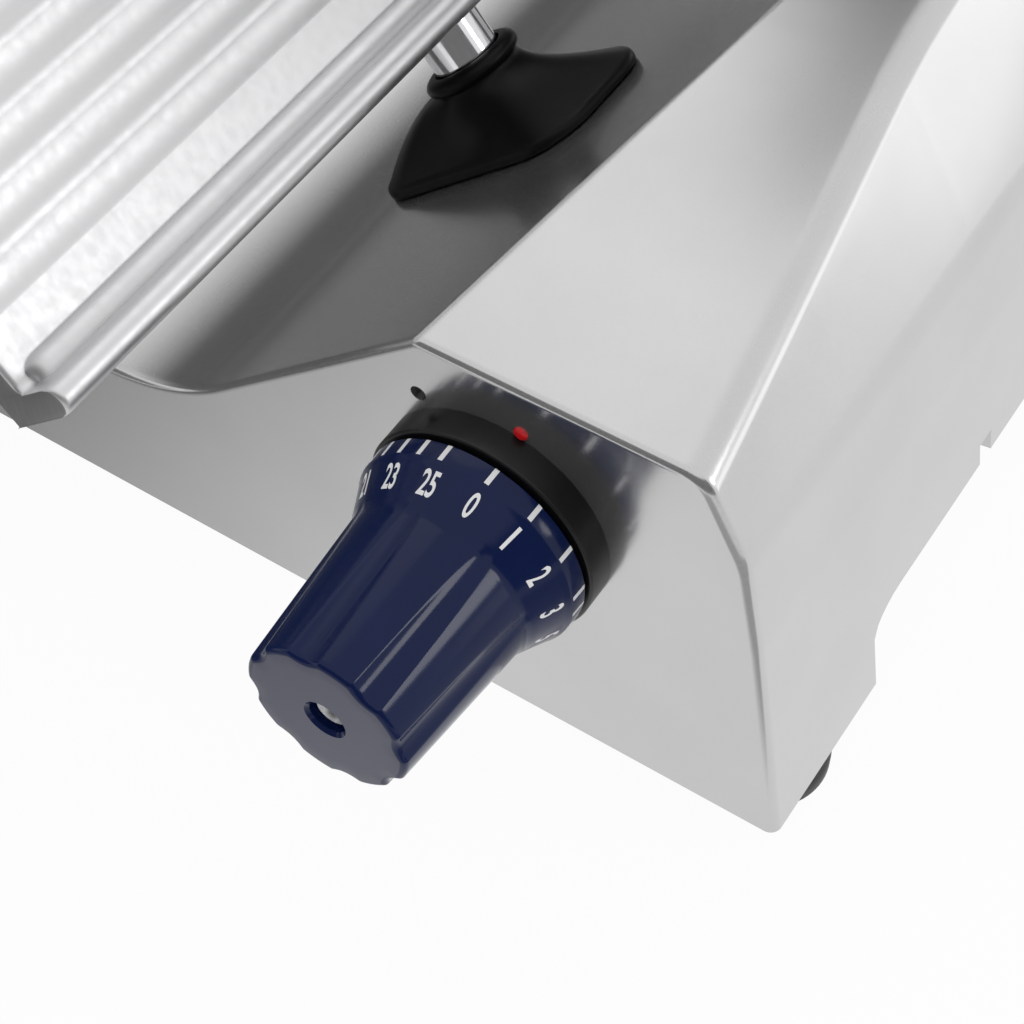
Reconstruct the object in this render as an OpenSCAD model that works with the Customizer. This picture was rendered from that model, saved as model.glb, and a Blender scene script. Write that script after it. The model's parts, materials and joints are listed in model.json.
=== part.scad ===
// Electric gravity food slicer with a tilted blade.
// X runs to the right along the front face, Y runs back along the carriage's travel, Z is up.
// The gauge plate, the blade and the food plate stand in a tilted frame: u is square to the blade and
// points at the food, y is shared with the body, and w runs up the blade.

/* [Base casting] */
// Width of the base casting at its bottom edge
body_w = 260; // [255:1:270]
// Length of the base casting, front to back
body_l = 420; // [410:1:440]
// Height of the slice deck on the left
deck_h = 46; // [43:1:49]
// Height of the flat top's left edge at the front
top_h = 112; // [111:0.5:114]
// Wall thickness of the casting
casting_t = 5; // [4:0.5:6]
// Radius of the hollow between the deck and the inclined wall
deck_fillet_r = 60; // [50:1:66]
// Where the inclined wall meets the flat top at the front
ridge_x = 165.5; // [164.5:0.5:167]
// Distance of the flat top's right edge from the right side, at the front
shoulder_in = 25.5; // [23:0.5:29]
// Rise of the flat top from its left edge to its right edge
top_rise = 0.8; // [0:0.1:1.5]
// Distance back of the casting's middle section
mid_y = 130; // [120:1:140]
// Left edge of the flat top at the middle section, as a share of its width at the front
mid_ridge_share = 0.361; // [0.33:0.001:0.39]
// Right edge of the flat top at the middle section, as a share of its width at the front
mid_shoulder_share = 0.739; // [0.7:0.001:0.77]
// Distance of the motor hump's full section ahead of the blade's axis
hump_ahead = 68; // [58:1:76]
// Left edge of the hump's top, as a share of the flat top's width at the front
hump_ridge_share = 0.5725; // [0.55:0.0005:0.59]
// Right edge of the hump's top, as a share of the flat top's width at the front
hump_shoulder_share = 0.819; // [0.78:0.001:0.83]
// Distance of the crease from the right side
crease_in = 17; // [15:0.5:19]
// Height of the crease on the right side
crease_z = 92; // [88:1:96]
// Distance of the bend below the crease from the right side
knee_in = 11; // [9:0.5:13]
// Height of the bend below the crease
knee_z = 66; // [60:1:72]
// Length of the legs at the front and back of the right side
leg_l = 50; // [46:1:54]
// Height of the carriage gap under the right side
gap_h = 23; // [22:0.5:25]
// Thickness of the bottom cover
cover_t = 2; // [1.5:0.5:3]

/* [Feet] */
// Height of a rubber foot below the casting
foot_h = 10; // [8:0.5:14]
// Radius of a rubber foot
foot_r = 14; // [12:0.5:16]

/* [Thickness knob] */
// Place of the knob's axis across the front
knob_x = 186.2; // [184:0.1:190]
// Height of the knob's axis
knob_z = 70.2; // [68:0.1:71]
// Outer radius of the bezel ring
bezel_r = 30; // [29:0.5:32]
// Depth of the bezel ring
bezel_t = 8; // [6:0.5:9]
// Radius of the dial where it meets the bezel
dial_r = 27.6; // [26.6:0.1:28]
// Length of the dial's cone
dial_l = 17.6; // [16:0.2:20]
// Length of the fluted grip
grip_l = 38; // [34:0.5:44]
// Radius of the grip at its end
grip_r = 19.8; // [19:0.1:21]
// Number of flutes round the grip
flute_count = 8; // [6:1:10]
// Radius of the knob's spindle
spindle_r = 5; // [4:0.5:6]
// Turn of the knob from its first to its last number, in degrees
dial_turn = 336; // [300:1:340]

/* [Gauge plate] */
// Lean of the blade's plane back from upright, in degrees
tilt = 42; // [41:0.5:43]
// Travel of the gauge plate
gauge_travel = 25; // [15:0.5:26]
// Place of the plate's ribbed face, along u
gauge_u = 153; // [152:0.5:154]
// Front end of the gauge plate
gauge_y = -50; // [-60:1:-40]
// Underside of the plate's lower ledge, along w
ledge_w = 3.5; // [2.5:0.5:4]
// Height of the gauge plate above its ledge's underside
gauge_h = 200; // [170:1:215]
// Thickness of the gauge plate
gauge_t = 10; // [8:0.5:12]
// Reach of the ledge in front of the ribbed face
ledge_l = 13; // [10:0.5:14]
// Thickness of the ledge
ledge_t = 7; // [6:0.5:7.5]
// Spacing of the plate's flutes
flute_pitch = 10.3; // [9:0.1:12]
// Width of a flute
flute_w = 8.7; // [7:0.1:8.9]
// Depth of a flute
flute_d = 1.2; // [0.6:0.1:1.6]
// Radius of the gauge plate's post
post_r = 8.5; // [7.5:0.5:9]
// Distance of the post's axis behind the front face
post_y = 91.5; // [88:0.5:96]
// Length of the rubber boot at the wall, along the post's slot
boot_l = 75; // [72:0.5:80]
// Breadth of the boot at the wall
boot_b = 43; // [40:0.5:46]
// Height of the boot
boot_h = 21; // [18:0.5:24]
// Radius of the guide rods inside the base
guide_r = 6; // [5:0.5:6.5]

/* [Blade and drive] */
// Radius of the blade
blade_r = 125; // [118:1:127]
// Distance of the blade's axis ahead of the back face
blade_back = 102; // [98:1:106]
// Height of the blade's axis, along w
blade_w = 122; // [118:1:126]
// Radius of the blade shaft
shaft_r = 10; // [8:0.5:11]
// Radius of the blade pulley
pulley_r = 42; // [36:1:43]
// Radius of the motor pulley
pinion_r = 12; // [10:0.5:14]
// Radius of the motor
motor_r = 36; // [32:0.5:37]
// Gap between the motor's end and the right wall
motor_gap = 7.7; // [6:0.1:20]
// Depth of the motor's axis below the tilted frame's zero, along w
motor_w = 70; // [69:0.5:71]

/* [Carriage] */
// Radius of the carriage rod
rod_r = 8; // [6:0.5:9]
// Distance of the rod from the right side
rod_in = 28; // [26:0.5:30]
// Height of the rod
rod_z = 14; // [13:0.5:15]
// Reach of the food plate ahead of the blade's axis with the carriage at the back
tray_ahead = 103; // [98:1:106]
// Width of the food plate along the travel
tray_l = 245; // [220:1:255]
// Reach of the food plate from the blade, along u
tray_w = 190; // [180:1:200]
// Thickness of the food plate
tray_t = 6; // [5:0.5:8]
// Height of the push fence
fence_h = 98; // [85:1:110]
// Travel of the pusher along its rod
pusher_travel = 120; // [80:5:125]

/* [Switch] */
// Radius of a button
button_r = 8; // [7:0.5:9]
// Travel of a button
button_travel = 2.5; // [1.5:0.5:3]

/* [Clearances] */
// Radial clearance of a running fit
run_gap = 0.03; // [0.02:0.01:0.08]
// Gap between pieces that pass each other
pass_gap = 0.4; // [0.3:0.05:0.6]
// Radial clearance of a screw in its hole
screw_gap = 0.1; // [0.05:0.05:0.3]

/* [Hidden] */
$fn = 64;
cut = 1;

// Places that keep together when the body's length or width changes
blade_y = body_l - blade_back;
tray_y = blade_y - tray_ahead;
hump_y = blade_y - hump_ahead;
shoulder_x = body_w - shoulder_in;
front_top_w = shoulder_x - ridge_x;
mid_ridge_x = ridge_x + mid_ridge_share * front_top_w;
mid_shoulder_x = ridge_x + mid_shoulder_share * front_top_w;
hump_ridge_x = ridge_x + hump_ridge_share * front_top_w;
hump_shoulder_x = ridge_x + hump_shoulder_share * front_top_w;
crease_x = body_w - crease_in;
knee_x = body_w - knee_in;
rod_x = body_w - rod_in;

// Section of the base: the wall's foot, where the deck's hollow ends
corner_x = ridge_x - (top_h - deck_h) / tan(tilt);
hollow_x = corner_x - deck_fillet_r * tan(tilt / 2);
hollow_z = deck_h + deck_fillet_r;
foot_x = hollow_x + deck_fillet_r * sin(tilt);
foot_z = hollow_z - deck_fillet_r * cos(tilt);
wall_w = -ridge_x * sin(tilt) + top_h * cos(tilt);

// Right-side gap under the casting
step_h = 16;
step_r = gap_h - step_h;
notch_y = 106;
notch_w = 6;
notch_h = 6.5;

// Casting fittings
pad_t = 5;
pad_r = foot_r + 4;
foot_in = 8;
foot_left_x = pad_r + foot_in + 6;
foot_right_x = body_w - pad_r + 3;
foot_ys = [foot_in + foot_r, body_l - foot_in - foot_r];
foot_spots = [for (x = [foot_left_x, foot_right_x], y = foot_ys) [x, y]];
foot_screw_r = 3;
foot_edge = 1.2;
foot_head_r = 6;
foot_head_h = 3;
cover_x0 = casting_t + 2;
cover_x1 = rod_x - 32;
cover_in = casting_t + 1;
cover_left = [cover_x0 + 19, 62];
cover_knob_gap = 36.2;
cover_right = [knob_x - cover_knob_gap, 20];
cover_spots = [cover_left, cover_right, [cover_left[0], body_l - cover_left[1]],
    [cover_right[0], body_l - cover_right[1]]];
cover_boss_r = 6;
cover_screw_r = 2;
cover_head_r = 3.6;
cover_head_h = 1.6;
cover_z = 2;
cover_screw_l = 11;
vent_count = 7;
vent_x = 70;
vent_pitch = 12;
vent_w = 5;
vent_l = 60;
vent_ahead = 30;
through = 60;

// Knob and its spiral cam
bush_r = spindle_r + 4;
bush_l = 20;
bush_boss_r = bush_r + 5;
bush_rim = 3;
bush_rim_t = 2;
dial_y0 = bezel_t + pass_gap;
dial_y1 = dial_y0 + dial_l;
grip_y1 = dial_y1 + grip_l;
neck_r = grip_r + 2.5;
rim_l = 4.8;
flute_scoop_r = 4.6;
flute_out = 3.4;
knob_recess_r = 4.2;
knob_recess_l = 9;
knob_screw_r = 2;
spindle_front = grip_y1 - knob_recess_l - 6;
cam_y = 42;
cam_t = 8;
spindle_back = cam_y + cam_t + 3;
cam_r = 12;
roller_r = 4;
cam_angle = 180 + tilt;
follower_out = cam_r + roller_r + pass_gap;
knob_u = knob_x * cos(tilt) + knob_z * sin(tilt);
knob_w = -knob_x * sin(tilt) + knob_z * cos(tilt);
peep_x = 166.3;
peep_z = 96;
peep_r = 1.5;
dot_r = 1.6;
dot_t = 0.5;
dot_angle = 11;
dot_y = dot_r + 0.5;

// Gauge plate's post, carrier and guides
post_u = gauge_u - 0.4;
gauge_end_y = blade_y - 73;
blade_gap = 2.5;
bead_r = 4.5;
bead_back = 8;
strip_w = 22;
flute_r = (flute_w * flute_w / 4 + flute_d * flute_d) / (2 * flute_d);
flute_rows = floor((gauge_h - strip_w - flute_pitch) / flute_pitch);
spigot_r = 6;
spigot_l = 10;
seat_w = wall_w;
seat_gap = 0.3;
slot_gap = 1.5;
boot_collar_r = post_r + 2.6;
boot_bead = 1.6;
boot_bead_h = 4;
boot_wall = 2.5;
boot_lip = 2;
boot_rim = 2;
boot_corner_r = 11;
boot_shift = 2;
carrier_u0 = post_u - 18;
follower_half = 7;
follower_u = knob_u - follower_out;
carrier_l = follower_u + follower_half - carrier_u0;
carrier_w1 = wall_w - casting_t - 4;
carrier_h = 24;
guide_y = 24.5;
guide_w = carrier_w1 - carrier_h / 2;
carrier_y0 = post_y - guide_y - guide_r - 4;
carrier_y1 = post_y + guide_y + guide_r + 4;
lug_t = 9;
lug_u0 = carrier_u0 - gauge_travel - 4 - lug_t;
lug_u1 = carrier_u0 + carrier_l + 6;

// Blade, hub, neck and belt
hub_u1 = gauge_u - 11;
hub_t = 4;
hub_r = 38;
neck_u1 = hub_u1 - hub_t - 4;
neck_t = 5;
neck_u0 = neck_u1 - 36;
neck_half = pulley_r + 8;
neck_w0 = wall_w + 15;
pedestal_u0 = neck_u0 - 2;
pedestal_u1 = neck_u1 + 4;
belt_w = 14;
belt_t = 1.6;
pulley_u0 = neck_u0 + 5.5;
pulley_t = 16;
bearing_t = 7;
bearing_r = shaft_r + 7;
bearing_boss_r = bearing_r + 5;
bearing_u0 = neck_u1 - 2 * bearing_t + 1.5;
tie_r = 4;
tie_gap = 1;
lid_t = 3;
blade_cover_r = 94;
blade_cover_t = 3;
guard_gap = 3;
guard_t = 14;
guard_spoke_t = 4;
guard_from = -50;
guard_sweep = 165;
guard_spokes = [-44, 0, 55, 108];
guard_spoke_w = 16;
channel_half = 28;
lid_screw_r = 1.5;
lid_screw_l = 10 - lid_t;
lid_head_r = 2.4;
lid_head_h = 1.6;
lid_spot_in = 2.5;
lid_spots = [for (y = [blade_y - neck_half + lid_spot_in, blade_y + neck_half - lid_spot_in],
    w = [neck_w0 + 12, blade_w]) [y, w]];
blade_cover_u = hub_u1 + 5.8;
tie_out = 14;
cover_knob_r = 18;
cover_knob_l = 21;
blade_plate_t = 3;
blade_bore_r = 16;
blade_screw_r = 5;
blade_screw_h = 2.4;
blade_screw_at = 28;
deflector_t = 2.5;
deflector_l = 40;
deflector_w0 = 46;
deflector_u = neck_u1 - 6;
pulley_hole_r = 8;

// Motor
motor_u0 = pulley_u0 + pulley_t + 6;
flange_t = 4;
flange_half = motor_r + 8;
motor_shaft_r = 6;
motor_nose_r = 12;
motor_l = (knee_x - casting_t - motor_gap - (motor_w + motor_r) * sin(tilt)) / cos(tilt) - motor_u0;
motor_screw_r = 2.5;
motor_screw_w = -motor_w + motor_r - 6;
motor_rib_h = 0.8;
motor_rib_t = 3;
motor_rib_in = 12;
capacitor_x = 60;
capacitor_y = 200;
capacitor_r = 13;
capacitor_l = 52;
lug_half = 8;

// Carriage
slider_l = 60;
slider_y = tray_y + tray_l / 2 - slider_l / 2 + 8;
slider_half = 15;
slider_z0 = rod_z - 12;
slider_z1 = rod_z + 13;
slider_bush_r = rod_r + 3;
slider_bush_l = 14;
arm_l = 40;
arm_y = slider_y + (slider_l - arm_l) / 2;
arm_z0 = 5;
arm_t = 14;
arm_in_x = body_w + 6;
arm_bend_z = 118;
arm_edge = 6;
arm_hump_gap = 4;
tray_u = gauge_u + 1.6;
tray_w0 = ledge_w + ledge_t + bead_r + 1.6;
tray_w1 = tray_w0 + tray_t;
arm_u0 = tray_u + 100;
arm_u1 = tray_u + 150;
tray_groove_pitch = 16;
fence_t = 5;
fence_u0 = tray_u + 14;
ear_t = 6;
pusher_l = 24;
fence_l = pusher_travel + pusher_l + 2 * ear_t + 4;
ear_y = 24;
ear_w = 16;
pusher_rod_r = 6;
pusher_rod_y = tray_y + fence_t + 12;
pusher_rod_w = tray_w1 + fence_h - ear_w / 2;
pusher_u0 = fence_u0 + ear_t + pass_gap;
pusher_reach = 150;
pusher_plate_t = 6;
pusher_low = 4;
pusher_arm_w = 12;
pusher_hub_t = 5;
pusher_plate_in = 16;
pin_pitch_y = 20;
pin_pitch_w = 18;
pin_l = 5;
pin_r = 2;
grip_in = 22;
pusher_grip_r = 13;
pusher_grip_l = 30;
handle_r = 15;
handle_l = 92;
handle_u = fence_u0 + fence_l - 34;
handle_w = tray_w1 + 48;
handle_pin_r = 4;
guard_plate_t = 4;
guard_plate_h = 70;

// Switch panel and cord inlet
panel_y = 150;
panel_l = 74;
panel_z = 9;
panel_h = 28;
panel_t = 3;
button_gap = 36;
button_out = 4;
button_stem_r = 4;
button_stem_l = 8;
box_t = 22;
gland_x = 62;
gland_z = 24;
gland_r = 9;
gland_hole_r = 4;
gland_rim = 3;

// Origin at the centre of the whole object's footprint, on the surface that it stands on
arm_out_x = body_w + 28;
ring_left_x = neck_u1 * cos(tilt) - (blade_w + blade_r + guard_gap + guard_t) * sin(tilt);
knob_out_y = bezel_t + pass_gap + dial_l + grip_l;
centre_x = (ring_left_x + arm_out_x) / 2;
centre_y = (tray_y + tray_l - knob_out_y) / 2;

// Places a piece in the object's own frame
module placed() { translate([-centre_x, -centre_y, foot_h]) children(); }

// Turns the tilted frame's axes u, y, w onto the body
module tilted() { placed() rotate([0, -tilt, 0]) children(); }

// A cylinder along u, y or w
module rod_u(u, y, w, r, l) { translate([u, y, w]) rotate([0, 90, 0]) cylinder(r = r, h = l); }
module rod_y(x, y, z, r, l) { translate([x, y, z]) rotate([-90, 0, 0]) cylinder(r = r, h = l); }

// A flat outline in the tilted frame's y and w, made solid along u
module slab_u(u, l) { translate([u, 0, 0]) rotate([90, 0, 90]) linear_extrude(l) children(); }

// An outline across the body's X and Z, made solid along Y
module slab_y(y, l) { translate([0, y + l, 0]) rotate([90, 0, 0]) linear_extrude(l) children(); }

// An outline along the body's Y and Z, made solid along X
module slab_x(x, l) { translate([x, 0, 0]) rotate([90, 0, 90]) linear_extrude(l) children(); }

// The knob's axis, with the local Z toward the operator
module knob_axis() { placed() translate([knob_x, 0, knob_z]) rotate([90, 0, 0]) children(); }

// A tube and a row of points on an arc
module tube(r, bore, l) {
    difference() {
        cylinder(r = r, h = l);
        translate([0, 0, -cut]) cylinder(r = bore, h = l + 2 * cut);
    }
}
function arc(x, z, r, from, to, steps) = [for (i = [0 : steps])
    let (a = from + (to - from) * i / steps) [x + r * cos(a), z + r * sin(a)]];

// Section of the deck with its hollow, moved in by t
module deck_section(t, floor_z) {
    polygon(concat([[t, floor_z], [t, deck_h - t], [hollow_x, deck_h - t]],
        arc(hollow_x, hollow_z, deck_fillet_r + t, -90, -90 + tilt, 10),
        [[foot_x + t + cut, foot_z - t], [foot_x + t + cut, floor_z]]));
}

// Height of the inclined wall's plane at a place across the body
function wall_z(x) = (wall_w + x * sin(tilt)) / cos(tilt);

// Section of the right side, moved in by t, with the flat top between two places
module side_section(t, floor_z, left, right) {
    top = wall_z(left) - t;
    polygon([[foot_x, floor_z], [foot_x + t * sin(tilt), foot_z - t * cos(tilt)],
        [left + t * tan(tilt / 2), top], [right - t / 2, top + top_rise],
        [crease_x - t, crease_z - t / 2], [knee_x - t, knee_z], [body_w - t, floor_z]]);
}

module casting_shape(t, floor_z) {
    slab_y(t, body_l - 2 * t) deck_section(t, floor_z);
    hull() {
        slab_y(t, cut) side_section(t, floor_z, ridge_x, shoulder_x);
        slab_y(mid_y - cut, cut) side_section(t, floor_z, mid_ridge_x, mid_shoulder_x);
    }
    hull() {
        slab_y(mid_y - cut, cut) side_section(t, floor_z, mid_ridge_x, mid_shoulder_x);
        slab_y(hump_y - cut, cut) side_section(t, floor_z, hump_ridge_x, hump_shoulder_x);
    }
    slab_y(hump_y - cut, body_l - hump_y + cut - t) side_section(t, floor_z, hump_ridge_x, hump_shoulder_x);
}

module casting_bosses() {
    intersection() {
        casting_shape(0, 0);
        union() {
            for (p = foot_spots) translate([p[0], p[1], 0]) cylinder(r = pad_r, h = pad_t);
            for (p = cover_spots) translate([p[0], p[1], cover_z + cover_t])
                cylinder(r = cover_boss_r, h = top_h);
            rod_y(knob_x, 0, knob_z, bush_boss_r, bush_l);
            for (y = [0, body_l - leg_l / 2 + 4]) rod_y(rod_x, y, rod_z, rod_r + 5, leg_l / 2 - 4);
            rotate([0, -tilt, 0]) {
                for (u = [lug_u0, lug_u1], y = [post_y - guide_y, post_y + guide_y])
                    translate([u, y - guide_r - 4, guide_w - guide_r - 4])
                        cube([lug_t, 2 * guide_r + 8, wall_w - guide_w + guide_r + 4]);
                for (y = [blade_y - flange_half, blade_y + flange_half - 2 * lug_half])
                    translate([motor_u0 - flange_t - lug_t, y, -motor_w + motor_r / 2])
                        cube([lug_t, 2 * lug_half, motor_w + wall_w - motor_r / 2]);
            }
        }
    }
    rotate([0, -tilt, 0]) translate([pedestal_u0, blade_y - neck_half - 2, wall_w - casting_t + 1])
        cube([pedestal_u1 - pedestal_u0, 2 * neck_half + 4, neck_w0 - wall_w + casting_t - 1]);
}

module gap_outline() {
    polygon(concat([[leg_l, -cut], [leg_l, step_h - step_r]],
        arc(leg_l + 2 * step_r, gap_h - 2 * step_r, 2 * step_r, 180, 90, 6),
        [[body_l - leg_l * 0.7, gap_h], [body_l - leg_l * 0.7, -cut]]));
}

module casting_holes() {
    slab_x(rod_x + slider_half, body_w) gap_outline();
    translate([rod_x + slider_half, notch_y, gap_h - cut]) cube([body_w, notch_w, notch_h + cut]);
    for (p = foot_spots) translate([p[0], p[1], -cut])
        cylinder(r = foot_screw_r + screw_gap, h = pad_t + 2 * cut);
    for (p = cover_spots) translate([p[0], p[1], 0])
        cylinder(r = cover_screw_r + screw_gap, h = cover_z + cover_screw_l + cut);
    rod_y(knob_x, -cut, knob_z, bush_r, bush_l + 2 * cut);
    rod_y(peep_x, -cut, peep_z, peep_r, casting_t + 2 * cut);
    rod_y(rod_x, casting_t, rod_z, rod_r, body_l - 2 * casting_t);
    rod_y(gland_x, body_l - casting_t - cut, gland_z, gland_r, casting_t + 2 * cut);
    translate([-cut, panel_y + 3, panel_z + 3]) cube([box_t, panel_l - 6, panel_h - 6]);
    rotate([0, -tilt, 0]) {
        translate([post_u, post_y, seat_w]) linear_extrude(through / 2) boot_outline(-seat_gap);
        for (u = [post_u, post_u - gauge_travel]) translate([u, post_y, seat_w - through / 2])
            cylinder(r = post_r + slot_gap, h = through);
        translate([post_u - gauge_travel, post_y - post_r - slot_gap, seat_w - through / 2])
            cube([gauge_travel, 2 * (post_r + slot_gap), through]);
        for (y = [post_y - guide_y, post_y + guide_y])
            rod_u(lug_u0 + 2, y, guide_w, guide_r, lug_u1 - lug_u0 + lug_t - 4);
        translate([neck_u0 + neck_t, blade_y - channel_half, wall_w - through])
            cube([neck_u1 - neck_u0 - 2 * neck_t, 2 * channel_half, neck_w0 - wall_w + through + cut]);
        for (y = [blade_y - flange_half + lug_half, blade_y + flange_half - lug_half])
            rod_u(motor_u0 - flange_t - lug_t - cut, y, motor_screw_w, motor_screw_r + screw_gap,
                lug_t + 2 * cut);
    }
}

module base_casting() {
    color("silver") placed() difference() {
        union() {
            difference() { casting_shape(0, 0); casting_shape(casting_t, -cut); }
            casting_bosses();
        }
        casting_holes();
    }
}

module bottom_cover() {
    color("gainsboro") placed() difference() {
        translate([cover_x0, cover_in, cover_z]) cube([cover_x1 - cover_x0, body_l - 2 * cover_in, cover_t]);
        for (p = foot_spots) translate([p[0], p[1], 0]) cylinder(r = pad_r + cut, h = through);
        for (p = cover_spots) translate([p[0], p[1], 0]) cylinder(r = cover_screw_r + screw_gap, h = through);
        for (i = [0 : vent_count - 1]) translate([vent_x + vent_pitch * i, body_l / 2 + vent_ahead, 0])
            cube([vent_w, vent_l, through]);
    }
}

module cover_screws() {
    color("dimgray") placed() for (p = cover_spots) translate([p[0], p[1], cover_z]) {
        translate([0, 0, -cover_head_h]) cylinder(r = cover_head_r, h = cover_head_h);
        cylinder(r = cover_screw_r, h = cover_screw_l);
    }
}

module rubber_feet() {
    color([0.06, 0.06, 0.06]) placed() for (p = foot_spots) translate([p[0], p[1], -foot_h]) difference() {
        rotate_extrude() polygon([[0, 0], [foot_r - foot_edge, 0], [foot_r, foot_edge], [foot_r, foot_h],
            [0, foot_h]]);
        translate([0, 0, -cut]) cylinder(r = foot_head_r + screw_gap, h = foot_head_h + 2 + cut);
        cylinder(r = foot_screw_r + screw_gap, h = foot_h + cut);
    }
}

module foot_screws() {
    color("dimgray") placed() for (p = foot_spots) translate([p[0], p[1], -foot_h + 2]) {
        cylinder(r = foot_head_r, h = foot_head_h);
        cylinder(r = foot_screw_r, h = foot_h - 2 + pad_t - 0.5);
    }
}

module dial_bezel() {
    color([0.04, 0.04, 0.04]) knob_axis() difference() {
        rotate_extrude() polygon([[bush_r + 1, 0], [bezel_r, 0], [bezel_r, bezel_t - 2.4], [bezel_r - 1.8, bezel_t],
            [bezel_r - 4, bezel_t], [bezel_r - 5, bezel_t - 0.8], [bush_r + 1, bezel_t - 0.8]]);
        rotate(-dot_angle) translate([0, bezel_r - dot_t, dot_y]) rotate([-90, 0, 0])
            cylinder(r = dot_r, h = 2 * dot_t, $fn = 32);
    }
}

module index_dot() {
    color("red") knob_axis() rotate(-dot_angle) translate([0, bezel_r - dot_t, dot_y])
        rotate([-90, 0, 0]) cylinder(r = dot_r - 0.05, h = dot_t + 0.2, $fn = 32);
}

module knob_bush() {
    color("peru") knob_axis() translate([0, 0, -bush_l]) difference() {
        union() {
            cylinder(r = bush_r, h = bush_l);
            translate([0, 0, -bush_rim_t]) cylinder(r = bush_r + bush_rim, h = bush_rim_t);
        }
        translate([0, 0, -bush_rim_t - cut])
            cylinder(r = spindle_r + run_gap, h = bush_l + bush_rim_t + 2 * cut);
    }
}

// Outline of the boot's foot, drawn in on every side
module boot_outline(inset) {
    a = boot_l / 2 - boot_corner_r;
    b = boot_b / 2 - boot_corner_r;
    r = boot_corner_r - inset;
    translate([-boot_shift, 0]) polygon(concat(arc(a, b, r, 0, 90, 6), arc(-a, b, r, 90, 180, 6),
        arc(-a, -b, r, 180, 270, 6), arc(a, -b, r, 270, 360, 6)));
}

// A tent from the boot's foot up to its round neck
module boot_tent(inset, low, neck_r, high) {
    hull() {
        translate([0, 0, low]) linear_extrude(cut) boot_outline(inset);
        translate([0, 0, high - cut]) cylinder(r = neck_r, h = cut, $fn = 48);
    }
}

module gauge_boot() {
    color([0.05, 0.05, 0.05]) tilted() translate([post_u, post_y, seat_w + seat_gap]) difference() {
        union() {
            linear_extrude(boot_lip) boot_outline(0);
            boot_tent(boot_rim, boot_lip - cut, boot_collar_r, boot_h - boot_bead_h);
            translate([0, 0, boot_h - boot_bead_h - cut])
                cylinder(r = boot_collar_r + boot_bead, h = boot_bead_h + cut);
        }
        boot_tent(boot_rim + boot_wall, -cut, post_r + pass_gap, boot_h - boot_bead_h - boot_wall);
        cylinder(r = post_r + pass_gap, h = boot_h + cut);
    }
}

module guide_rods() {
    color("lightgray") tilted() for (y = [post_y - guide_y, post_y + guide_y])
        rod_u(lug_u0 + 2, y, guide_w, guide_r, lug_u1 - lug_u0 + lug_t - 4);
}

module motor_can() {
    color("slategray") tilted() difference() {
        union() {
            rod_u(motor_u0, blade_y, -motor_w, motor_r, motor_l);
            for (a = [0 : 30 : 330]) translate([motor_u0 + motor_rib_in, blade_y, -motor_w]) rotate([a, 0, 0])
                translate([0, -motor_rib_t / 2, motor_r - cut])
                    cube([motor_l - 2 * motor_rib_in, motor_rib_t, cut + motor_rib_h]);
        }
        rod_u(motor_u0 - cut, blade_y, -motor_w, motor_shaft_r + run_gap, motor_l - 10);
    }
}

module motor_flange() {
    color("gray") tilted() difference() {
        translate([motor_u0 - flange_t, blade_y - flange_half, -motor_w - motor_r * 0.7])
            cube([flange_t, 2 * flange_half, 1.7 * motor_r]);
        rod_u(motor_u0 - flange_t - cut, blade_y, -motor_w, motor_nose_r, flange_t + 2 * cut);
        for (y = [blade_y - flange_half + lug_half, blade_y + flange_half - lug_half])
            rod_u(motor_u0 - flange_t - cut, y, motor_screw_w, motor_screw_r + screw_gap, flange_t + 2 * cut);
    }
}

module motor_screws() {
    color("dimgray") tilted() for (y = [blade_y - flange_half + lug_half, blade_y + flange_half - lug_half])
        rod_u(motor_u0 - flange_t - lug_t, y, motor_screw_w, motor_screw_r, flange_t + lug_t);
}

module capacitor() {
    color("whitesmoke") placed()
        rod_y(capacitor_x, capacitor_y, cover_z + cover_t + capacitor_r, capacitor_r, capacitor_l);
}

module neck_outline(t) {
    translate([blade_y - neck_half + t, neck_w0]) square([2 * (neck_half - t), blade_w - neck_w0]);
    translate([blade_y, blade_w]) circle(r = neck_half - t);
}

module blade_neck() {
    color("silver") tilted() difference() {
        union() {
            difference() {
                slab_u(neck_u0, neck_u1 - neck_u0) neck_outline(0);
                slab_u(neck_u0 - cut, neck_u1 - neck_u0 - neck_t + cut) neck_outline(neck_t);
                translate([neck_u0 + neck_t, blade_y - channel_half, neck_w0 - cut])
                    cube([neck_u1 - neck_u0 - 2 * neck_t, 2 * channel_half, 3]);
            }
            rod_u(bearing_u0 - 1.5, blade_y, blade_w, bearing_boss_r, 2 * bearing_t + 1.5);
        }
        rod_u(bearing_u0, blade_y, blade_w, bearing_r, 4 * bearing_t);
        rod_u(neck_u0, blade_y, blade_w, shaft_r + 3, neck_u1 - neck_u0 + cut);
        for (p = lid_spots) rod_u(neck_u0 - cut, p[0], p[1], lid_screw_r, lid_screw_l + 2 * cut);
    }
}

module neck_lid() {
    color("gainsboro") tilted() difference() {
        slab_u(neck_u0 - lid_t, lid_t) neck_outline(0);
        rod_u(neck_u0 - lid_t - cut, blade_y, blade_w, tie_r + tie_gap, lid_t + 2 * cut);
        for (p = lid_spots)
            rod_u(neck_u0 - lid_t - cut, p[0], p[1], lid_screw_r + screw_gap, lid_t + 2 * cut);
    }
}

module lid_screws() {
    color("dimgray") tilted() for (p = lid_spots) {
        rod_u(neck_u0 - lid_t - lid_head_h, p[0], p[1], lid_head_r, lid_head_h);
        rod_u(neck_u0 - lid_t, p[0], p[1], lid_screw_r - screw_gap / 2, lid_t + lid_screw_l);
    }
}

module belt_loop(out) {
    hull() {
        translate([blade_y, blade_w]) circle(r = pulley_r + out, $fn = 32);
        translate([blade_y, -motor_w]) circle(r = pinion_r + out, $fn = 32);
    }
}

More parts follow.
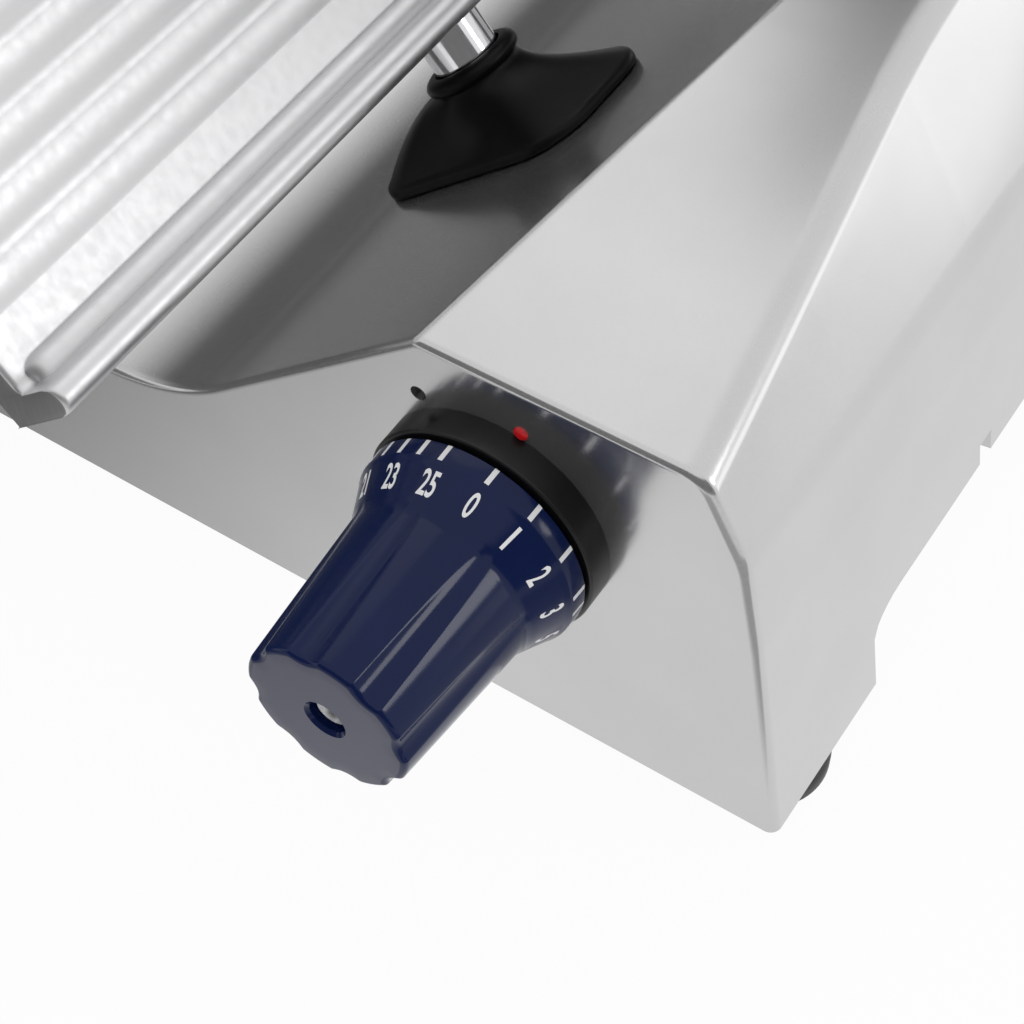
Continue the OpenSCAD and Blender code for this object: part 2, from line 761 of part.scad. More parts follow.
module drive_belt() {
    color([0.1, 0.1, 0.1]) tilted() slab_u(pulley_u0 + (pulley_t - belt_w) / 2, belt_w)
        difference() { belt_loop(0.5 + belt_t); belt_loop(0.5); }
}

module blade_bearings() {
    color("lightsteelblue") tilted() for (i = [0, 1])
        translate([bearing_u0 + i * (bearing_t + 0.2), blade_y, blade_w]) rotate([0, 90, 0])
            tube(bearing_r, shaft_r + run_gap, bearing_t - 0.4);
}

module blade_guard() {
    color("silver") tilted() {
        translate([neck_u1, blade_y, blade_w]) rotate([90, 0, 90]) rotate(guard_from)
            rotate_extrude(angle = guard_sweep, $fn = 96) translate([blade_r + guard_gap, 0])
                square([guard_t, gauge_u - neck_u1 - 1]);
        for (a = guard_spokes) translate([neck_u1, blade_y, blade_w]) rotate([a, 0, 0])
            translate([0, hub_r + 4, -guard_spoke_w / 2])
                cube([guard_spoke_t, blade_r + guard_gap + guard_t / 2 - hub_r - 4, guard_spoke_w]);
    }
}

module blade_cover() {
    color("silver") tilted() translate([blade_cover_u, blade_y, blade_w]) rotate([0, 90, 0]) difference() {
        cylinder(r = blade_cover_r, h = blade_cover_t);
        translate([0, 0, -cut]) cylinder(r = tie_r, h = blade_cover_t);
    }
}

module cover_tie_rod() {
    color("lightgray") tilted()
        rod_u(neck_u0 - lid_t - tie_out, blade_y, blade_w, tie_r,
            blade_cover_u + blade_cover_t - cut - neck_u0 + lid_t + tie_out);
}

module cover_knob() {
    r = cover_knob_r;
    l = cover_knob_l;
    color([0.06, 0.06, 0.07]) tilted() translate([neck_u0 - lid_t, blade_y, blade_w]) rotate([0, -90, 0])
        difference() {
            rotate_extrude() polygon([[0, 0], [r / 2, 0], [0.55 * r, 0.1 * l], [0.55 * r, 0.2 * l],
                [0.94 * r, 0.38 * l], [r, 0.48 * l], [r, 0.9 * l], [0.89 * r, l], [0, l]]);
            translate([0, 0, -cut]) cylinder(r = tie_r, h = tie_out + cut);
        }
}

module slice_deflector() {
    color("gainsboro") tilted() {
        translate([deflector_u, blade_y - neck_half - deflector_l, deflector_w0])
            cube([deflector_t, deflector_l, blade_w]);
        translate([deflector_u - deflector_l / 2, blade_y - neck_half - deflector_t, deflector_w0])
            cube([deflector_l / 2 + deflector_t, deflector_t, blade_w - deflector_w0]);
    }
}

module carriage_rod() {
    color("lightgray") placed() rod_y(rod_x, casting_t, rod_z, rod_r, body_l - 2 * casting_t);
}

module switch_panel() {
    color([0.08, 0.08, 0.09]) placed() difference() {
        translate([-panel_t, panel_y, panel_z]) cube([panel_t, panel_l, panel_h]);
        for (y = [-button_gap / 2, button_gap / 2])
            translate([-panel_t - cut, panel_y + panel_l / 2 + y, panel_z + panel_h / 2])
                rotate([0, 90, 0]) cylinder(r = button_r + pass_gap, h = panel_t + 2 * cut);
    }
}

module switch_box() {
    color("darkslategray") placed() difference() {
        translate([0, panel_y + 4, panel_z + 4]) cube([box_t - 3, panel_l - 8, panel_h - 8]);
        for (y = [-button_gap / 2, button_gap / 2])
            translate([-cut, panel_y + panel_l / 2 + y, panel_z + panel_h / 2]) rotate([0, 90, 0]) {
                cylinder(r = button_r + pass_gap, h = cut + button_travel + 2.5);
                cylinder(r = button_stem_r + run_gap, h = button_stem_l + button_travel + 6);
            }
    }
}

module cord_gland() {
    color([0.06, 0.06, 0.06]) placed() translate([gland_x, body_l - casting_t, gland_z]) rotate([-90, 0, 0])
        difference() {
            union() {
                translate([0, 0, casting_t]) cylinder(r = gland_r + gland_rim, h = gland_rim);
                translate([0, 0, casting_t + gland_rim])
                    cylinder(r1 = gland_r + gland_rim / 3, r2 = gland_r - gland_rim / 3, h = 2 * gland_rim);
                cylinder(r = gland_r, h = casting_t);
            }
            translate([0, 0, -cut]) cylinder(r = gland_hole_r, h = through);
        }
}

module thickness_knob() {
    color([0.07, 0.1, 0.25]) knob_axis() difference() {
        rotate_extrude() polygon([[0, dial_y0], [dial_r - 0.6, dial_y0], [dial_r, dial_y0 + 0.6],
            [dial_r, dial_y0 + rim_l], [neck_r + 1, dial_y1], [neck_r, dial_y1 + 3],
            [grip_r, grip_y1 - 1.2], [grip_r - 1.2, grip_y1], [0, grip_y1]]);
        translate([0, 0, dial_y0 - cut]) cylinder(r = spindle_r, h = spindle_front - dial_y0 + cut);
        cylinder(r = knob_screw_r + screw_gap, h = grip_y1);
        translate([0, 0, grip_y1 - knob_recess_l]) cylinder(r = knob_recess_r, h = knob_recess_l + cut);
        for (i = [0 : flute_count - 1]) rotate(360 / flute_count * (i + 0.5))
            translate([grip_r + flute_out, 0, dial_y1 + 6]) {
                cylinder(r = flute_scoop_r, h = grip_l);
                sphere(r = flute_scoop_r);
            }
    }
}

module knob_screw() {
    color("lightgray") knob_axis() {
        translate([0, 0, grip_y1 - knob_recess_l]) difference() {
            cylinder(r = knob_recess_r - 0.5, h = 3.5);
            translate([0, 0, 1.5]) cylinder(r = 1.6, h = 4, $fn = 6);
        }
        translate([0, 0, spindle_front - 8])
            cylinder(r = knob_screw_r, h = grip_y1 - knob_recess_l - spindle_front + 8);
    }
}

module knob_spindle() {
    color("lightgray") knob_axis() translate([0, 0, -spindle_back]) difference() {
        cylinder(r = spindle_r, h = spindle_back + spindle_front);
        translate([0, 0, spindle_back + spindle_front - 9]) cylinder(r = knob_screw_r, h = 9 + cut);
    }
}

// A spiral whose radius grows by the gauge's travel over the dial's turn
module gauge_cam() {
    color("darkgoldenrod") knob_axis() translate([0, 0, -cam_y - cam_t]) linear_extrude(cam_t) difference() {
        polygon(concat([for (i = [0 : 60]) let (a = dial_turn * i / 60, r = cam_r + gauge_travel * i / 60)
                [r * cos(cam_angle - a), r * sin(cam_angle - a)]],
            arc(0, 0, cam_r, cam_angle - dial_turn, cam_angle - 355, 4)));
        circle(r = spindle_r);
    }
}

module gauge_plate() {
    color([0.93, 0.93, 0.94]) tilted() difference() {
        union() {
            translate([gauge_u - gauge_t, gauge_y, ledge_w]) cube([gauge_t, gauge_end_y - gauge_y, gauge_h]);
            translate([gauge_u - cut, gauge_y, ledge_w])
                cube([ledge_l - ledge_t / 2 + cut, gauge_end_y - gauge_y, ledge_t]);
            rod_y(gauge_u + ledge_l - ledge_t / 2, gauge_y, ledge_w + ledge_t / 2, ledge_t / 2,
                gauge_end_y - gauge_y);
            rod_y(gauge_u + 0.4, gauge_y + bead_back, ledge_w + ledge_t + 0.2, bead_r,
                gauge_end_y - gauge_y - bead_back);
            translate([gauge_u + 0.4, gauge_y + bead_back, ledge_w + ledge_t + 0.2]) sphere(r = bead_r);
        }
        for (i = [0 : flute_rows]) rod_y(gauge_u + flute_r - flute_d, gauge_y - cut,
            ledge_w + strip_w + flute_w / 2 + flute_pitch * i, flute_r, gauge_end_y - gauge_y + 2 * cut);
        rod_u(gauge_u - 2 * gauge_t, blade_y, blade_w, blade_r + blade_gap, 4 * gauge_t + ledge_l);
        translate([post_u, post_y, ledge_w - cut]) cylinder(r = spigot_r, h = spigot_l + cut);
    }
}

module gauge_post() {
    color("lightgray") tilted() {
        translate([post_u, post_y, carrier_w1 - carrier_h + 3])
            cylinder(r = post_r, h = ledge_w - carrier_w1 + carrier_h - 3);
        translate([post_u, post_y, ledge_w - cut]) cylinder(r = spigot_r, h = spigot_l + cut);
    }
}

module gauge_carrier() {
    color("darkgray") tilted() difference() {
        union() {
            translate([carrier_u0, carrier_y0, carrier_w1 - carrier_h])
                cube([carrier_l, carrier_y1 - carrier_y0, carrier_h]);
            translate([follower_u - follower_half, carrier_y0, knob_w - follower_half - 1])
                cube([2 * follower_half, guide_r + 4, carrier_w1 - knob_w]);
        }
        translate([post_u, post_y, carrier_w1 - carrier_h + 3]) cylinder(r = post_r, h = carrier_h);
        for (y = [post_y - guide_y, post_y + guide_y])
            rod_u(carrier_u0 - cut, y, guide_w, guide_r + run_gap, carrier_l + 2 * cut);
        rod_y(follower_u, carrier_y0 - cut, knob_w, roller_r, 8 + cut);
    }
}

module cam_follower() {
    color("goldenrod") tilted() rod_y(follower_u, cam_y - 1, knob_w, roller_r, carrier_y0 + 8 - cam_y + 1);
}

module blade() {
    color([0.8, 0.81, 0.83]) tilted() translate([0, blade_y, blade_w]) rotate([0, 90, 0])
        rotate_extrude($fn = 128) polygon([[blade_bore_r, hub_u1], [blade_r - 35, hub_u1], [blade_r - 7, gauge_u - 3.4],
            [blade_r, gauge_u - 0.05], [blade_r, gauge_u], [blade_r - 8, gauge_u - 0.4],
            [blade_r - 37, hub_u1 + blade_plate_t], [blade_bore_r, hub_u1 + blade_plate_t]]);
}

module blade_hub() {
    color("gray") tilted() translate([neck_u0 + 2, blade_y, blade_w]) rotate([0, 90, 0]) difference() {
        union() {
            cylinder(r = shaft_r, h = hub_u1 - neck_u0 - 2);
            translate([0, 0, hub_u1 - hub_t - neck_u0 - 2]) cylinder(r = hub_r, h = hub_t);
        }
        translate([0, 0, -cut]) cylinder(r = tie_r + tie_gap, h = 2 * through);
    }
}

module blade_screws() {
    color("dimgray") tilted() for (a = [0 : 90 : 270])
        translate([hub_u1 + blade_plate_t, blade_y, blade_w]) rotate([a, 0, 0])
            translate([0, blade_screw_at, 0]) rotate([0, 90, 0]) cylinder(r = blade_screw_r, h = blade_screw_h);
}

module blade_pulley() {
    color("darkgray") tilted() translate([pulley_u0, blade_y, blade_w]) rotate([0, 90, 0]) difference() {
        cylinder(r = pulley_r, h = pulley_t);
        translate([0, 0, -cut]) cylinder(r = shaft_r, h = pulley_t + 2 * cut);
        for (a = [0 : 60 : 300]) rotate(a) translate([(pulley_r + shaft_r) / 2 + 1, 0, -cut])
            cylinder(r = pulley_hole_r, h = pulley_t + 2 * cut);
    }
}

module motor_shaft() {
    color("lightgray") tilted()
        rod_u(pulley_u0 - 2, blade_y, -motor_w, motor_shaft_r, motor_u0 + motor_l - 14 - pulley_u0);
}

module motor_pulley() {
    color("darkgray") tilted() translate([pulley_u0, blade_y, -motor_w]) rotate([0, 90, 0])
        tube(pinion_r, motor_shaft_r, pulley_t);
}

module carriage_slider() {
    color("darkgray") placed() difference() {
        translate([rod_x - slider_half, slider_y, slider_z0])
            cube([2 * slider_half, slider_l, slider_z1 - slider_z0]);
        rod_y(rod_x, slider_y - cut, rod_z, slider_bush_r, slider_bush_l + cut);
        rod_y(rod_x, slider_y + slider_l - slider_bush_l, rod_z, slider_bush_r, slider_bush_l + cut);
        rod_y(rod_x, slider_y - cut, rod_z, rod_r + 1, slider_l + 2 * cut);
    }
}

module slider_bushes() {
    color("peru") placed() for (y = [slider_y, slider_y + slider_l - slider_bush_l])
        translate([rod_x, y, rod_z]) rotate([-90, 0, 0]) tube(slider_bush_r, rod_r + run_gap, slider_bush_l);
}

// From the slider under the casting's right side, up beside it and over to the food plate
module carriage_arm() {
    a0 = [arm_u0 * cos(tilt) - tray_w0 * sin(tilt), arm_u0 * sin(tilt) + tray_w0 * cos(tilt)];
    a1 = [arm_u1 * cos(tilt) - tray_w0 * sin(tilt), arm_u1 * sin(tilt) + tray_w0 * cos(tilt)];
    over = [hump_shoulder_x + arm_hump_gap, wall_z(hump_ridge_x) + top_rise + arm_hump_gap];
    color("silver") placed() slab_y(arm_y, arm_l)
        polygon([[rod_x + slider_half, arm_z0], [arm_out_x - arm_edge, arm_z0], [arm_out_x, arm_z0 + arm_edge],
            [arm_out_x, arm_bend_z + arm_edge], a1, a0, over, [arm_in_x, arm_bend_z],
            [arm_in_x, arm_z0 + arm_t], [rod_x + slider_half, arm_z0 + arm_t]]);
}

module food_plate() {
    color([0.9, 0.9, 0.91]) tilted() difference() {
        translate([tray_u, tray_y, tray_w0]) cube([tray_w, tray_l, tray_t]);
        for (y = [tray_y + 14 : tray_groove_pitch : tray_y + tray_l - 10])
            rod_u(tray_u + 12, y, tray_w1 + 4.4, 5, tray_w - 24);
    }
}

module push_fence() {
    color("silver") tilted() difference() {
        union() {
            translate([fence_u0, tray_y, tray_w1]) cube([fence_l, fence_t, fence_h]);
            for (u = [fence_u0, fence_u0 + fence_l - ear_t]) translate([u, tray_y, tray_w1 + fence_h - ear_w])
                cube([ear_t, ear_y, ear_w]);
        }
        rod_u(fence_u0 - cut, pusher_rod_y, pusher_rod_w, pusher_rod_r, fence_l + 2 * cut);
        rod_y(handle_u, tray_y - cut, handle_w, handle_pin_r, fence_t + 2 * cut);
    }
}

module hand_guard() {
    color([0.85, 0.9, 0.95, 0.5]) tilted() difference() {
        translate([fence_u0 + 20, tray_y - guard_plate_t, tray_w1 + fence_h - guard_plate_h])
            cube([fence_l - 20, guard_plate_t, guard_plate_h + 24]);
        rod_y(handle_u, tray_y - guard_plate_t - cut, handle_w, handle_pin_r, guard_plate_t + 2 * cut);
    }
}

module carriage_handle() {
    color([0.05, 0.05, 0.05]) tilted()
        translate([handle_u, tray_y - guard_plate_t, handle_w]) rotate([90, 0, 0]) {
        rotate_extrude() polygon([[0, 0], [0.73 * handle_r, 0], [0.67 * handle_r, 0.04 * handle_l],
            [0.87 * handle_r, 0.33 * handle_l], [handle_r, 0.65 * handle_l], [0.87 * handle_r, 0.89 * handle_l],
            [0.47 * handle_r, 0.99 * handle_l], [0, handle_l]]);
        translate([0, 0, -guard_plate_t - fence_t])
            cylinder(r = handle_pin_r - screw_gap, h = guard_plate_t + fence_t);
    }
}

module pusher_rod() {
    color("lightgray") tilted() rod_u(fence_u0, pusher_rod_y, pusher_rod_w, pusher_rod_r, fence_l);
}

module food_pusher() {
    color("silver") tilted() translate([pusher_u0, 0, 0]) difference() {
        union() {
            rod_u(0, pusher_rod_y, pusher_rod_w, pusher_rod_r + pusher_hub_t, pusher_l);
            translate([0, pusher_rod_y, pusher_rod_w - pusher_arm_w / 2])
                cube([pusher_plate_t, pusher_reach, pusher_arm_w]);
            translate([0, pusher_rod_y + pusher_plate_in, tray_w1 + pusher_low])
                cube([pusher_plate_t, pusher_reach - pusher_plate_in,
                    pusher_rod_w - tray_w1 - pusher_low + pusher_arm_w / 2]);
            for (i = [0 : 5], j = [0 : 3])
                translate([0, pusher_rod_y + 2 * pusher_plate_in + pin_pitch_y * i,
                    tray_w1 + pusher_plate_in + pin_pitch_w * j])
                    rotate([0, -90, 0]) cylinder(r1 = pin_r, r2 = pin_r / 5, h = pin_l, $fn = 24);
        }
        rod_u(-cut, pusher_rod_y, pusher_rod_w, pusher_rod_r + run_gap, pusher_l + 2 * cut);
    }
}

module pusher_grip() {
    color([0.05, 0.05, 0.05]) tilted()
        translate([pusher_u0 + pusher_plate_t, pusher_rod_y + pusher_reach - grip_in, pusher_rod_w])
            rotate([0, 90, 0]) rotate_extrude() polygon([[0, 0], [0.46 * pusher_grip_r, 0],
                [0.46 * pusher_grip_r, 0.27 * pusher_grip_l], [0.92 * pusher_grip_r, 0.47 * pusher_grip_l],
                [pusher_grip_r, 0.67 * pusher_grip_l], [0.77 * pusher_grip_r, 0.9 * pusher_grip_l],
                [0, pusher_grip_l]]);
}

module push_button(y) {
    placed() translate([0, panel_y + panel_l / 2 + y, panel_z + panel_h / 2]) rotate([0, 90, 0]) {
        translate([0, 0, -panel_t - button_out]) cylinder(r = button_r, h = panel_t + button_out + 2);
        cylinder(r = button_stem_r, h = button_stem_l + 2);
    }
}

module on_button() { color("green") push_button(-button_gap / 2); }
module off_button() { color("red") push_button(button_gap / 2); }

base_casting();
bottom_cover();
cover_screws();
rubber_feet();
foot_screws();
dial_bezel();
index_dot();
knob_bush();
gauge_boot();
guide_rods();
motor_can();
motor_flange();
motor_screws();
capacitor();
blade_neck();
neck_lid();
lid_screws();
drive_belt();
blade_bearings();
blade_guard();
blade_cover();
cover_tie_rod();
cover_knob();
slice_deflector();
carriage_rod();
switch_panel();
switch_box();
cord_gland();
thickness_knob();
knob_screw();
knob_spindle();
gauge_cam();
gauge_plate();
gauge_post();
gauge_carrier();
cam_follower();
blade();
blade_hub();
blade_screws();
blade_pulley();
motor_shaft();
motor_pulley();
carriage_slider();
slider_bushes();
carriage_arm();
food_plate();
push_fence();
hand_guard();
carriage_handle();
pusher_rod();
food_pusher();
pusher_grip();
on_button();
off_button();
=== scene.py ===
import json
import math

import bmesh
import bpy
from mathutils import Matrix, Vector

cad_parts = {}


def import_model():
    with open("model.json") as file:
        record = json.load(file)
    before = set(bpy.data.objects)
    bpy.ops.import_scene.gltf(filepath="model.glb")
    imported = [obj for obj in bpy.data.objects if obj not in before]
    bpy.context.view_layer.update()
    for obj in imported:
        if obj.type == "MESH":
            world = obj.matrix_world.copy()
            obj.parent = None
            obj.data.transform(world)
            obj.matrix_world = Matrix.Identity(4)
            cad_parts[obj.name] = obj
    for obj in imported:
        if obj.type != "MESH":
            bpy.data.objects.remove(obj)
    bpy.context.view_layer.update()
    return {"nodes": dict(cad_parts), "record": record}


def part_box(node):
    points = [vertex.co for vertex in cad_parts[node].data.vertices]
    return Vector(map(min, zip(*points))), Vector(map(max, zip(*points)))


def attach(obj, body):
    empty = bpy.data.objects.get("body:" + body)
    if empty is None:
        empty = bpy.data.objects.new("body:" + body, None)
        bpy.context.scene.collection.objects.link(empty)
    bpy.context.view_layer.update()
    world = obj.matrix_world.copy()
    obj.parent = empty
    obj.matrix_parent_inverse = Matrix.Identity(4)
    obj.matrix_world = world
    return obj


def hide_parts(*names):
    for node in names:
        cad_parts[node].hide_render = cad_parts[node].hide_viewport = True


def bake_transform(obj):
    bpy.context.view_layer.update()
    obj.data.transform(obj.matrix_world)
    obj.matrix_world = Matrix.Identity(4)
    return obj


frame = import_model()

NODES = frame["nodes"]
MM = 0.001

# The machine's own corner: front, left and bottom of the base casting. The blade leans by TILT.
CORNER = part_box("base_casting")[0]
TILT = math.radians(42)


def at(x, y, z):
    """A point of the machine in millimetres, as a point of the row frame in metres."""
    return CORNER + Vector((x, y, z)) * MM


def tilted(u, y, w):
    """A point of the tilted frame in millimetres: u towards the food side, w up the blade."""
    return at(u * math.cos(TILT) - w * math.sin(TILT), y, u * math.sin(TILT) + w * math.cos(TILT))


def srgb(r, g, b):
    """A display colour from 0 to 255 as the linear colour a shader takes."""
    def linear(c):
        c = c / 255
        return c / 12.92 if c <= 0.04045 else ((c + 0.055) / 1.055) ** 2.4
    return (linear(r), linear(g), linear(b), 1.0)


def clamp(x, low, high):
    """A number kept between two limits."""
    return max(low, min(high, x))


def blend_line(points, x):
    """The height at x of a line through points, in order of x."""
    for (x0, y0), (x1, y1) in zip(points, points[1:]):
        if x <= x1:
            return y0 + (y1 - y0) * (x - x0) / (x1 - x0)
    return points[-1][1]


# Materials


class Paint:
    """A material's nodes, with short calls for what the finishes here have in common."""

    def __init__(self, name):
        self.material = bpy.data.materials.new(name)
        self.material.use_nodes = True
        self.tree = self.material.node_tree
        self.shader = self.tree.nodes["Principled BSDF"]
        self.place = self.add("ShaderNodeTexCoord").outputs["Object"]

    def add(self, kind, **values):
        node = self.tree.nodes.new(kind)
        for key, value in values.items():
            setattr(node, key, value)
        return node

    def join(self, start, end):
        self.tree.links.new(start, end)

    def set(self, **values):
        for key, value in values.items():
            self.shader.inputs[key.replace("_", " ")].default_value = value

    def noise(self, scale, detail, stretch=(1, 1, 1)):
        """Noise in the piece's own place, drawn out along an axis where stretch is small."""
        spread = self.add("ShaderNodeMapping")
        spread.inputs["Scale"].default_value = stretch
        self.join(self.place, spread.inputs["Vector"])
        node = self.add("ShaderNodeTexNoise")
        node.inputs["Scale"].default_value = scale
        node.inputs["Detail"].default_value = detail
        self.join(spread.outputs[0], node.inputs["Vector"])
        return node.outputs["Fac"]

    def between(self, fac, low, high, start=0.3, end=0.7):
        """A value that goes from low to high while fac goes from start to end."""
        node = self.add("ShaderNodeMapRange")
        node.inputs["From Min"].default_value = start
        node.inputs["From Max"].default_value = end
        node.inputs["To Min"].default_value = low
        node.inputs["To Max"].default_value = high
        self.join(fac, node.inputs["Value"])
        return node.outputs["Result"]

    def shades(self, fac, dark, light):
        """A colour that goes from dark to light with the middle of a noise's range."""
        node = self.add("ShaderNodeValToRGB")
        low, high = node.color_ramp.elements
        low.position, low.color = 0.3, dark
        high.position, high.color = 0.7, light
        self.join(fac, node.inputs["Fac"])
        return node.outputs["Color"]

    def colour(self, socket):
        self.join(socket, self.shader.inputs["Base Color"])

    def rough(self, socket):
        self.join(socket, self.shader.inputs["Roughness"])

    def bumps(self, height, distance):
        """Fine relief of a depth in millimetres."""
        node = self.add("ShaderNodeBump")
        node.inputs["Strength"].default_value = 1.0
        node.inputs["Distance"].default_value = distance * MM
        self.join(height, node.inputs["Height"])
        self.join(node.outputs["Normal"], self.shader.inputs["Normal"])


def scaled(colour, k):
    """A colour made darker or lighter."""
    return (colour[0] * k, colour[1] * k, colour[2] * k, 1.0)


# Scales of the slow changes of tone in a finish
METAL_CLOUD, PLASTIC_CLOUD, CAST_CLOUD = 28, 45, 24


def metal(name, colour, low, high, grain, stretch=(1, 1, 1), depth=0.004, tone=0.92):
    """Bare or anodised metal: cloudy tone, fine grain in one direction, uneven polish."""
    paint = Paint(name)
    cloud = paint.noise(METAL_CLOUD, 4)
    lines = paint.noise(grain, 2, stretch)
    paint.set(Metallic=1.0)
    paint.colour(paint.shades(cloud, scaled(colour, tone), colour))
    paint.rough(paint.between(lines, low, high))
    paint.bumps(lines, depth)
    return paint.material


def moulded(name, colour, low, high, grain=2600, depth=0.006, tone=0.8, shine=0.5):
    """Moulded plastic or rubber: fine spark texture, slight cloud in its colour, uneven gloss."""
    paint = Paint(name)
    cloud = paint.noise(PLASTIC_CLOUD, 3)
    spark = paint.noise(grain, 2)
    paint.set(Specular_IOR_Level=shine)
    paint.colour(paint.shades(cloud, scaled(colour, tone), colour))
    paint.rough(paint.between(cloud, low, high))
    paint.bumps(spark, depth)
    return paint.material


# The casting: roughness of its sides and top, heights in metres over which the top turns matt, how level
# a face is where it counts as top or as deck, and the painted shade that darkens the deck's colour
SIDE_ROUGH, TOP_ROUGH, POLISH_SPREAD = 0.1, 0.28, 0.18
TOP_HEIGHTS, TOP_LEVEL, DECK_LEVEL = (0.085, 0.105), (0.9, 0.99), (0.8, 0.98)
DECK_SHADE, CAST_TONE, CAST_METAL, CAST_GRAIN, CAST_BUMP = 0.85, 0.94, 0.92, 6500, 0.0003


def polished_cast(name, colour):
    """A polished casting: glossy sides, blasted and matt where it faces up, faint polishing clouds, and
    painted shade that darkens low up-facing faces, the deck most of all.
    """
    paint = Paint(name)
    cloud, grain = paint.noise(CAST_CLOUD, 4), paint.noise(CAST_GRAIN, 2)
    facing, place = paint.add("ShaderNodeSeparateXYZ"), paint.add("ShaderNodeSeparateXYZ")
    paint.join(paint.add("ShaderNodeNewGeometry").outputs["Normal"], facing.inputs[0])
    paint.join(paint.place, place.inputs[0])
    on_top = paint.add("ShaderNodeMath", operation="MULTIPLY")
    paint.join(paint.between(facing.outputs["Z"], 0, 1, *TOP_LEVEL), on_top.inputs[0])
    paint.join(paint.between(place.outputs["Z"], 0, 1, *TOP_HEIGHTS), on_top.inputs[1])
    level = paint.between(on_top.outputs[0], SIDE_ROUGH, TOP_ROUGH, 0, 1)
    # Painted shade: up-facing faces below the top's height, the deck most of all, take a darker colour
    deck_shade = paint.add("ShaderNodeMath", operation="MULTIPLY")
    paint.join(paint.between(facing.outputs["Z"], 0, 1, *DECK_LEVEL), deck_shade.inputs[0])
    paint.join(paint.between(place.outputs["Z"], 1, 0, *TOP_HEIGHTS), deck_shade.inputs[1])
    deck_shaded = paint.add("ShaderNodeMix", data_type="RGBA", blend_type="MULTIPLY")
    paint.join(deck_shade.outputs[0], deck_shaded.inputs["Factor"])
    paint.join(paint.shades(cloud, scaled(colour, CAST_TONE), colour), deck_shaded.inputs["A"])
    deck_shaded.inputs["B"].default_value = (DECK_SHADE, DECK_SHADE, DECK_SHADE, 1)
    uneven = paint.add("ShaderNodeMath", operation="MULTIPLY_ADD")
    paint.join(paint.between(grain, 0, 1), uneven.inputs[0])
    uneven.inputs[1].default_value = POLISH_SPREAD
    paint.join(level, uneven.inputs[2])
    paint.set(Metallic=CAST_METAL)
    paint.colour(deck_shaded.outputs["Result"])
    paint.rough(uneven.outputs[0])
    paint.bumps(grain, CAST_BUMP)
    return paint.material


def clear(name):
    """Clear acrylic sheet with faint handling marks."""
    paint = Paint(name)
    marks = paint.noise(130, 5, (1, 0.15, 1))
    paint.set(Base_Color=(0.93, 0.97, 0.98, 1), IOR=1.45, Transmission_Weight=1.0)
    paint.rough(paint.between(marks, 0.02, 0.16, 0.45, 0.8))
    paint.bumps(marks, 0.003)
    return paint.material


# Colour, least and most roughness, then the grain's scale, stretch and depth, and the dark clouds' tone
CAST = polished_cast("cast_aluminium_polished", srgb(201, 201, 201))
PLATE = metal("anodised_plate_satin", srgb(213, 213, 214), 0.4, 0.48, 420, (0.12, 1, 1), 0.0003, 0.97)
# The plate's end faces: a sawn grain of their own, and a darker colour that is painted shade
PLATE_END_SHADED = metal("sawn_plate_end_painted_shade", srgb(146, 146, 147), 0.34, 0.46, 900, (1, 1, 0.2), 0.004, 0.85)
SHEET = metal("sheet_steel_brushed", srgb(205, 206, 207), 0.25, 0.33, 2600, (1, 0.04, 1), depth=0.0006)
GROUND = metal("blade_steel_ground", srgb(199, 200, 202), 0.15, 0.23, 2600, (1, 0.1, 0.1), depth=0.0005)
SCREW = metal("screw_steel_plain", srgb(176, 176, 178), 0.24, 0.4, 900, depth=0.004)
BAR = metal("bar_steel_plated", srgb(218, 218, 220), 0.05, 0.14, 600, depth=0.0008)
TURNED = metal("machined_steel_turned", srgb(189, 190, 192), 0.22, 0.3, 2400, (1, 0.1, 1), depth=0.0008)
BRONZE = metal("bronze_turned", srgb(196, 158, 96), 0.24, 0.38, 700, depth=0.003)
MOTOR = moulded("motor_paint_grey", srgb(74, 77, 80), 0.36, 0.5, 900, 0.02)
BLUE = moulded("blue_plastic_knob", srgb(9, 25, 68), 0.11, 0.16, 2600, 0.002, 0.86, 0.2)
BLUE_END = moulded("blue_plastic_knob_end", srgb(20, 28, 66), 0.16, 0.22, 2600, 0.002, 0.9, 0.45)
BLACK = moulded("black_plastic_satin", srgb(19, 19, 20), 0.26, 0.38, 2400, 0.005, shine=0.32)
WHITE = moulded("white_plastic_case", srgb(226, 226, 222), 0.35, 0.5)
MARKS = moulded("white_dial_ink", srgb(236, 236, 238), 0.4, 0.5, tone=0.94)
RUBBER = moulded("rubber_matt", srgb(26, 26, 27), 0.42, 0.6, 1500, 0.015)
BOOT = moulded("rubber_boot_satin", srgb(14, 14, 15), 0.3, 0.42, 1500, 0.008, shine=0.12)
RED = moulded("red_plastic_gloss", srgb(206, 24, 30), 0.24, 0.34, 2400, 0.004)
GREEN = moulded("green_plastic_gloss", srgb(24, 128, 62), 0.24, 0.34, 2400, 0.004)
CLEAR = clear("clear_acrylic_sheet")

BY_SLOT = {
    "cast_aluminium": CAST, "anodised_plate": PLATE, "sheet_steel": SHEET, "blade_steel": GROUND,
    "screw_steel": SCREW, "bar_steel": BAR, "machined_steel": TURNED, "bronze": BRONZE,
    "motor_paint": MOTOR, "blue_plastic": BLUE, "black_plastic": BLACK, "white_plastic": WHITE,
    "rubber": RUBBER, "red_plastic": RED, "green_plastic": GREEN, "clear_plastic": CLEAR,
}


# Mesh helpers


def rows_into(bm, rows, closed):
    """Adds rows of points joined into a grid, and returns the rows of vertices."""
    made = [[bm.verts.new(p) for p in row] for row in rows]
    for low, high in zip(made, made[1:]):
        n = len(low)
        for i in range(n if closed else n - 1):
            j = (i + 1) % n
            bm.faces.new((low[i], low[j], high[j], high[i]))
    return made


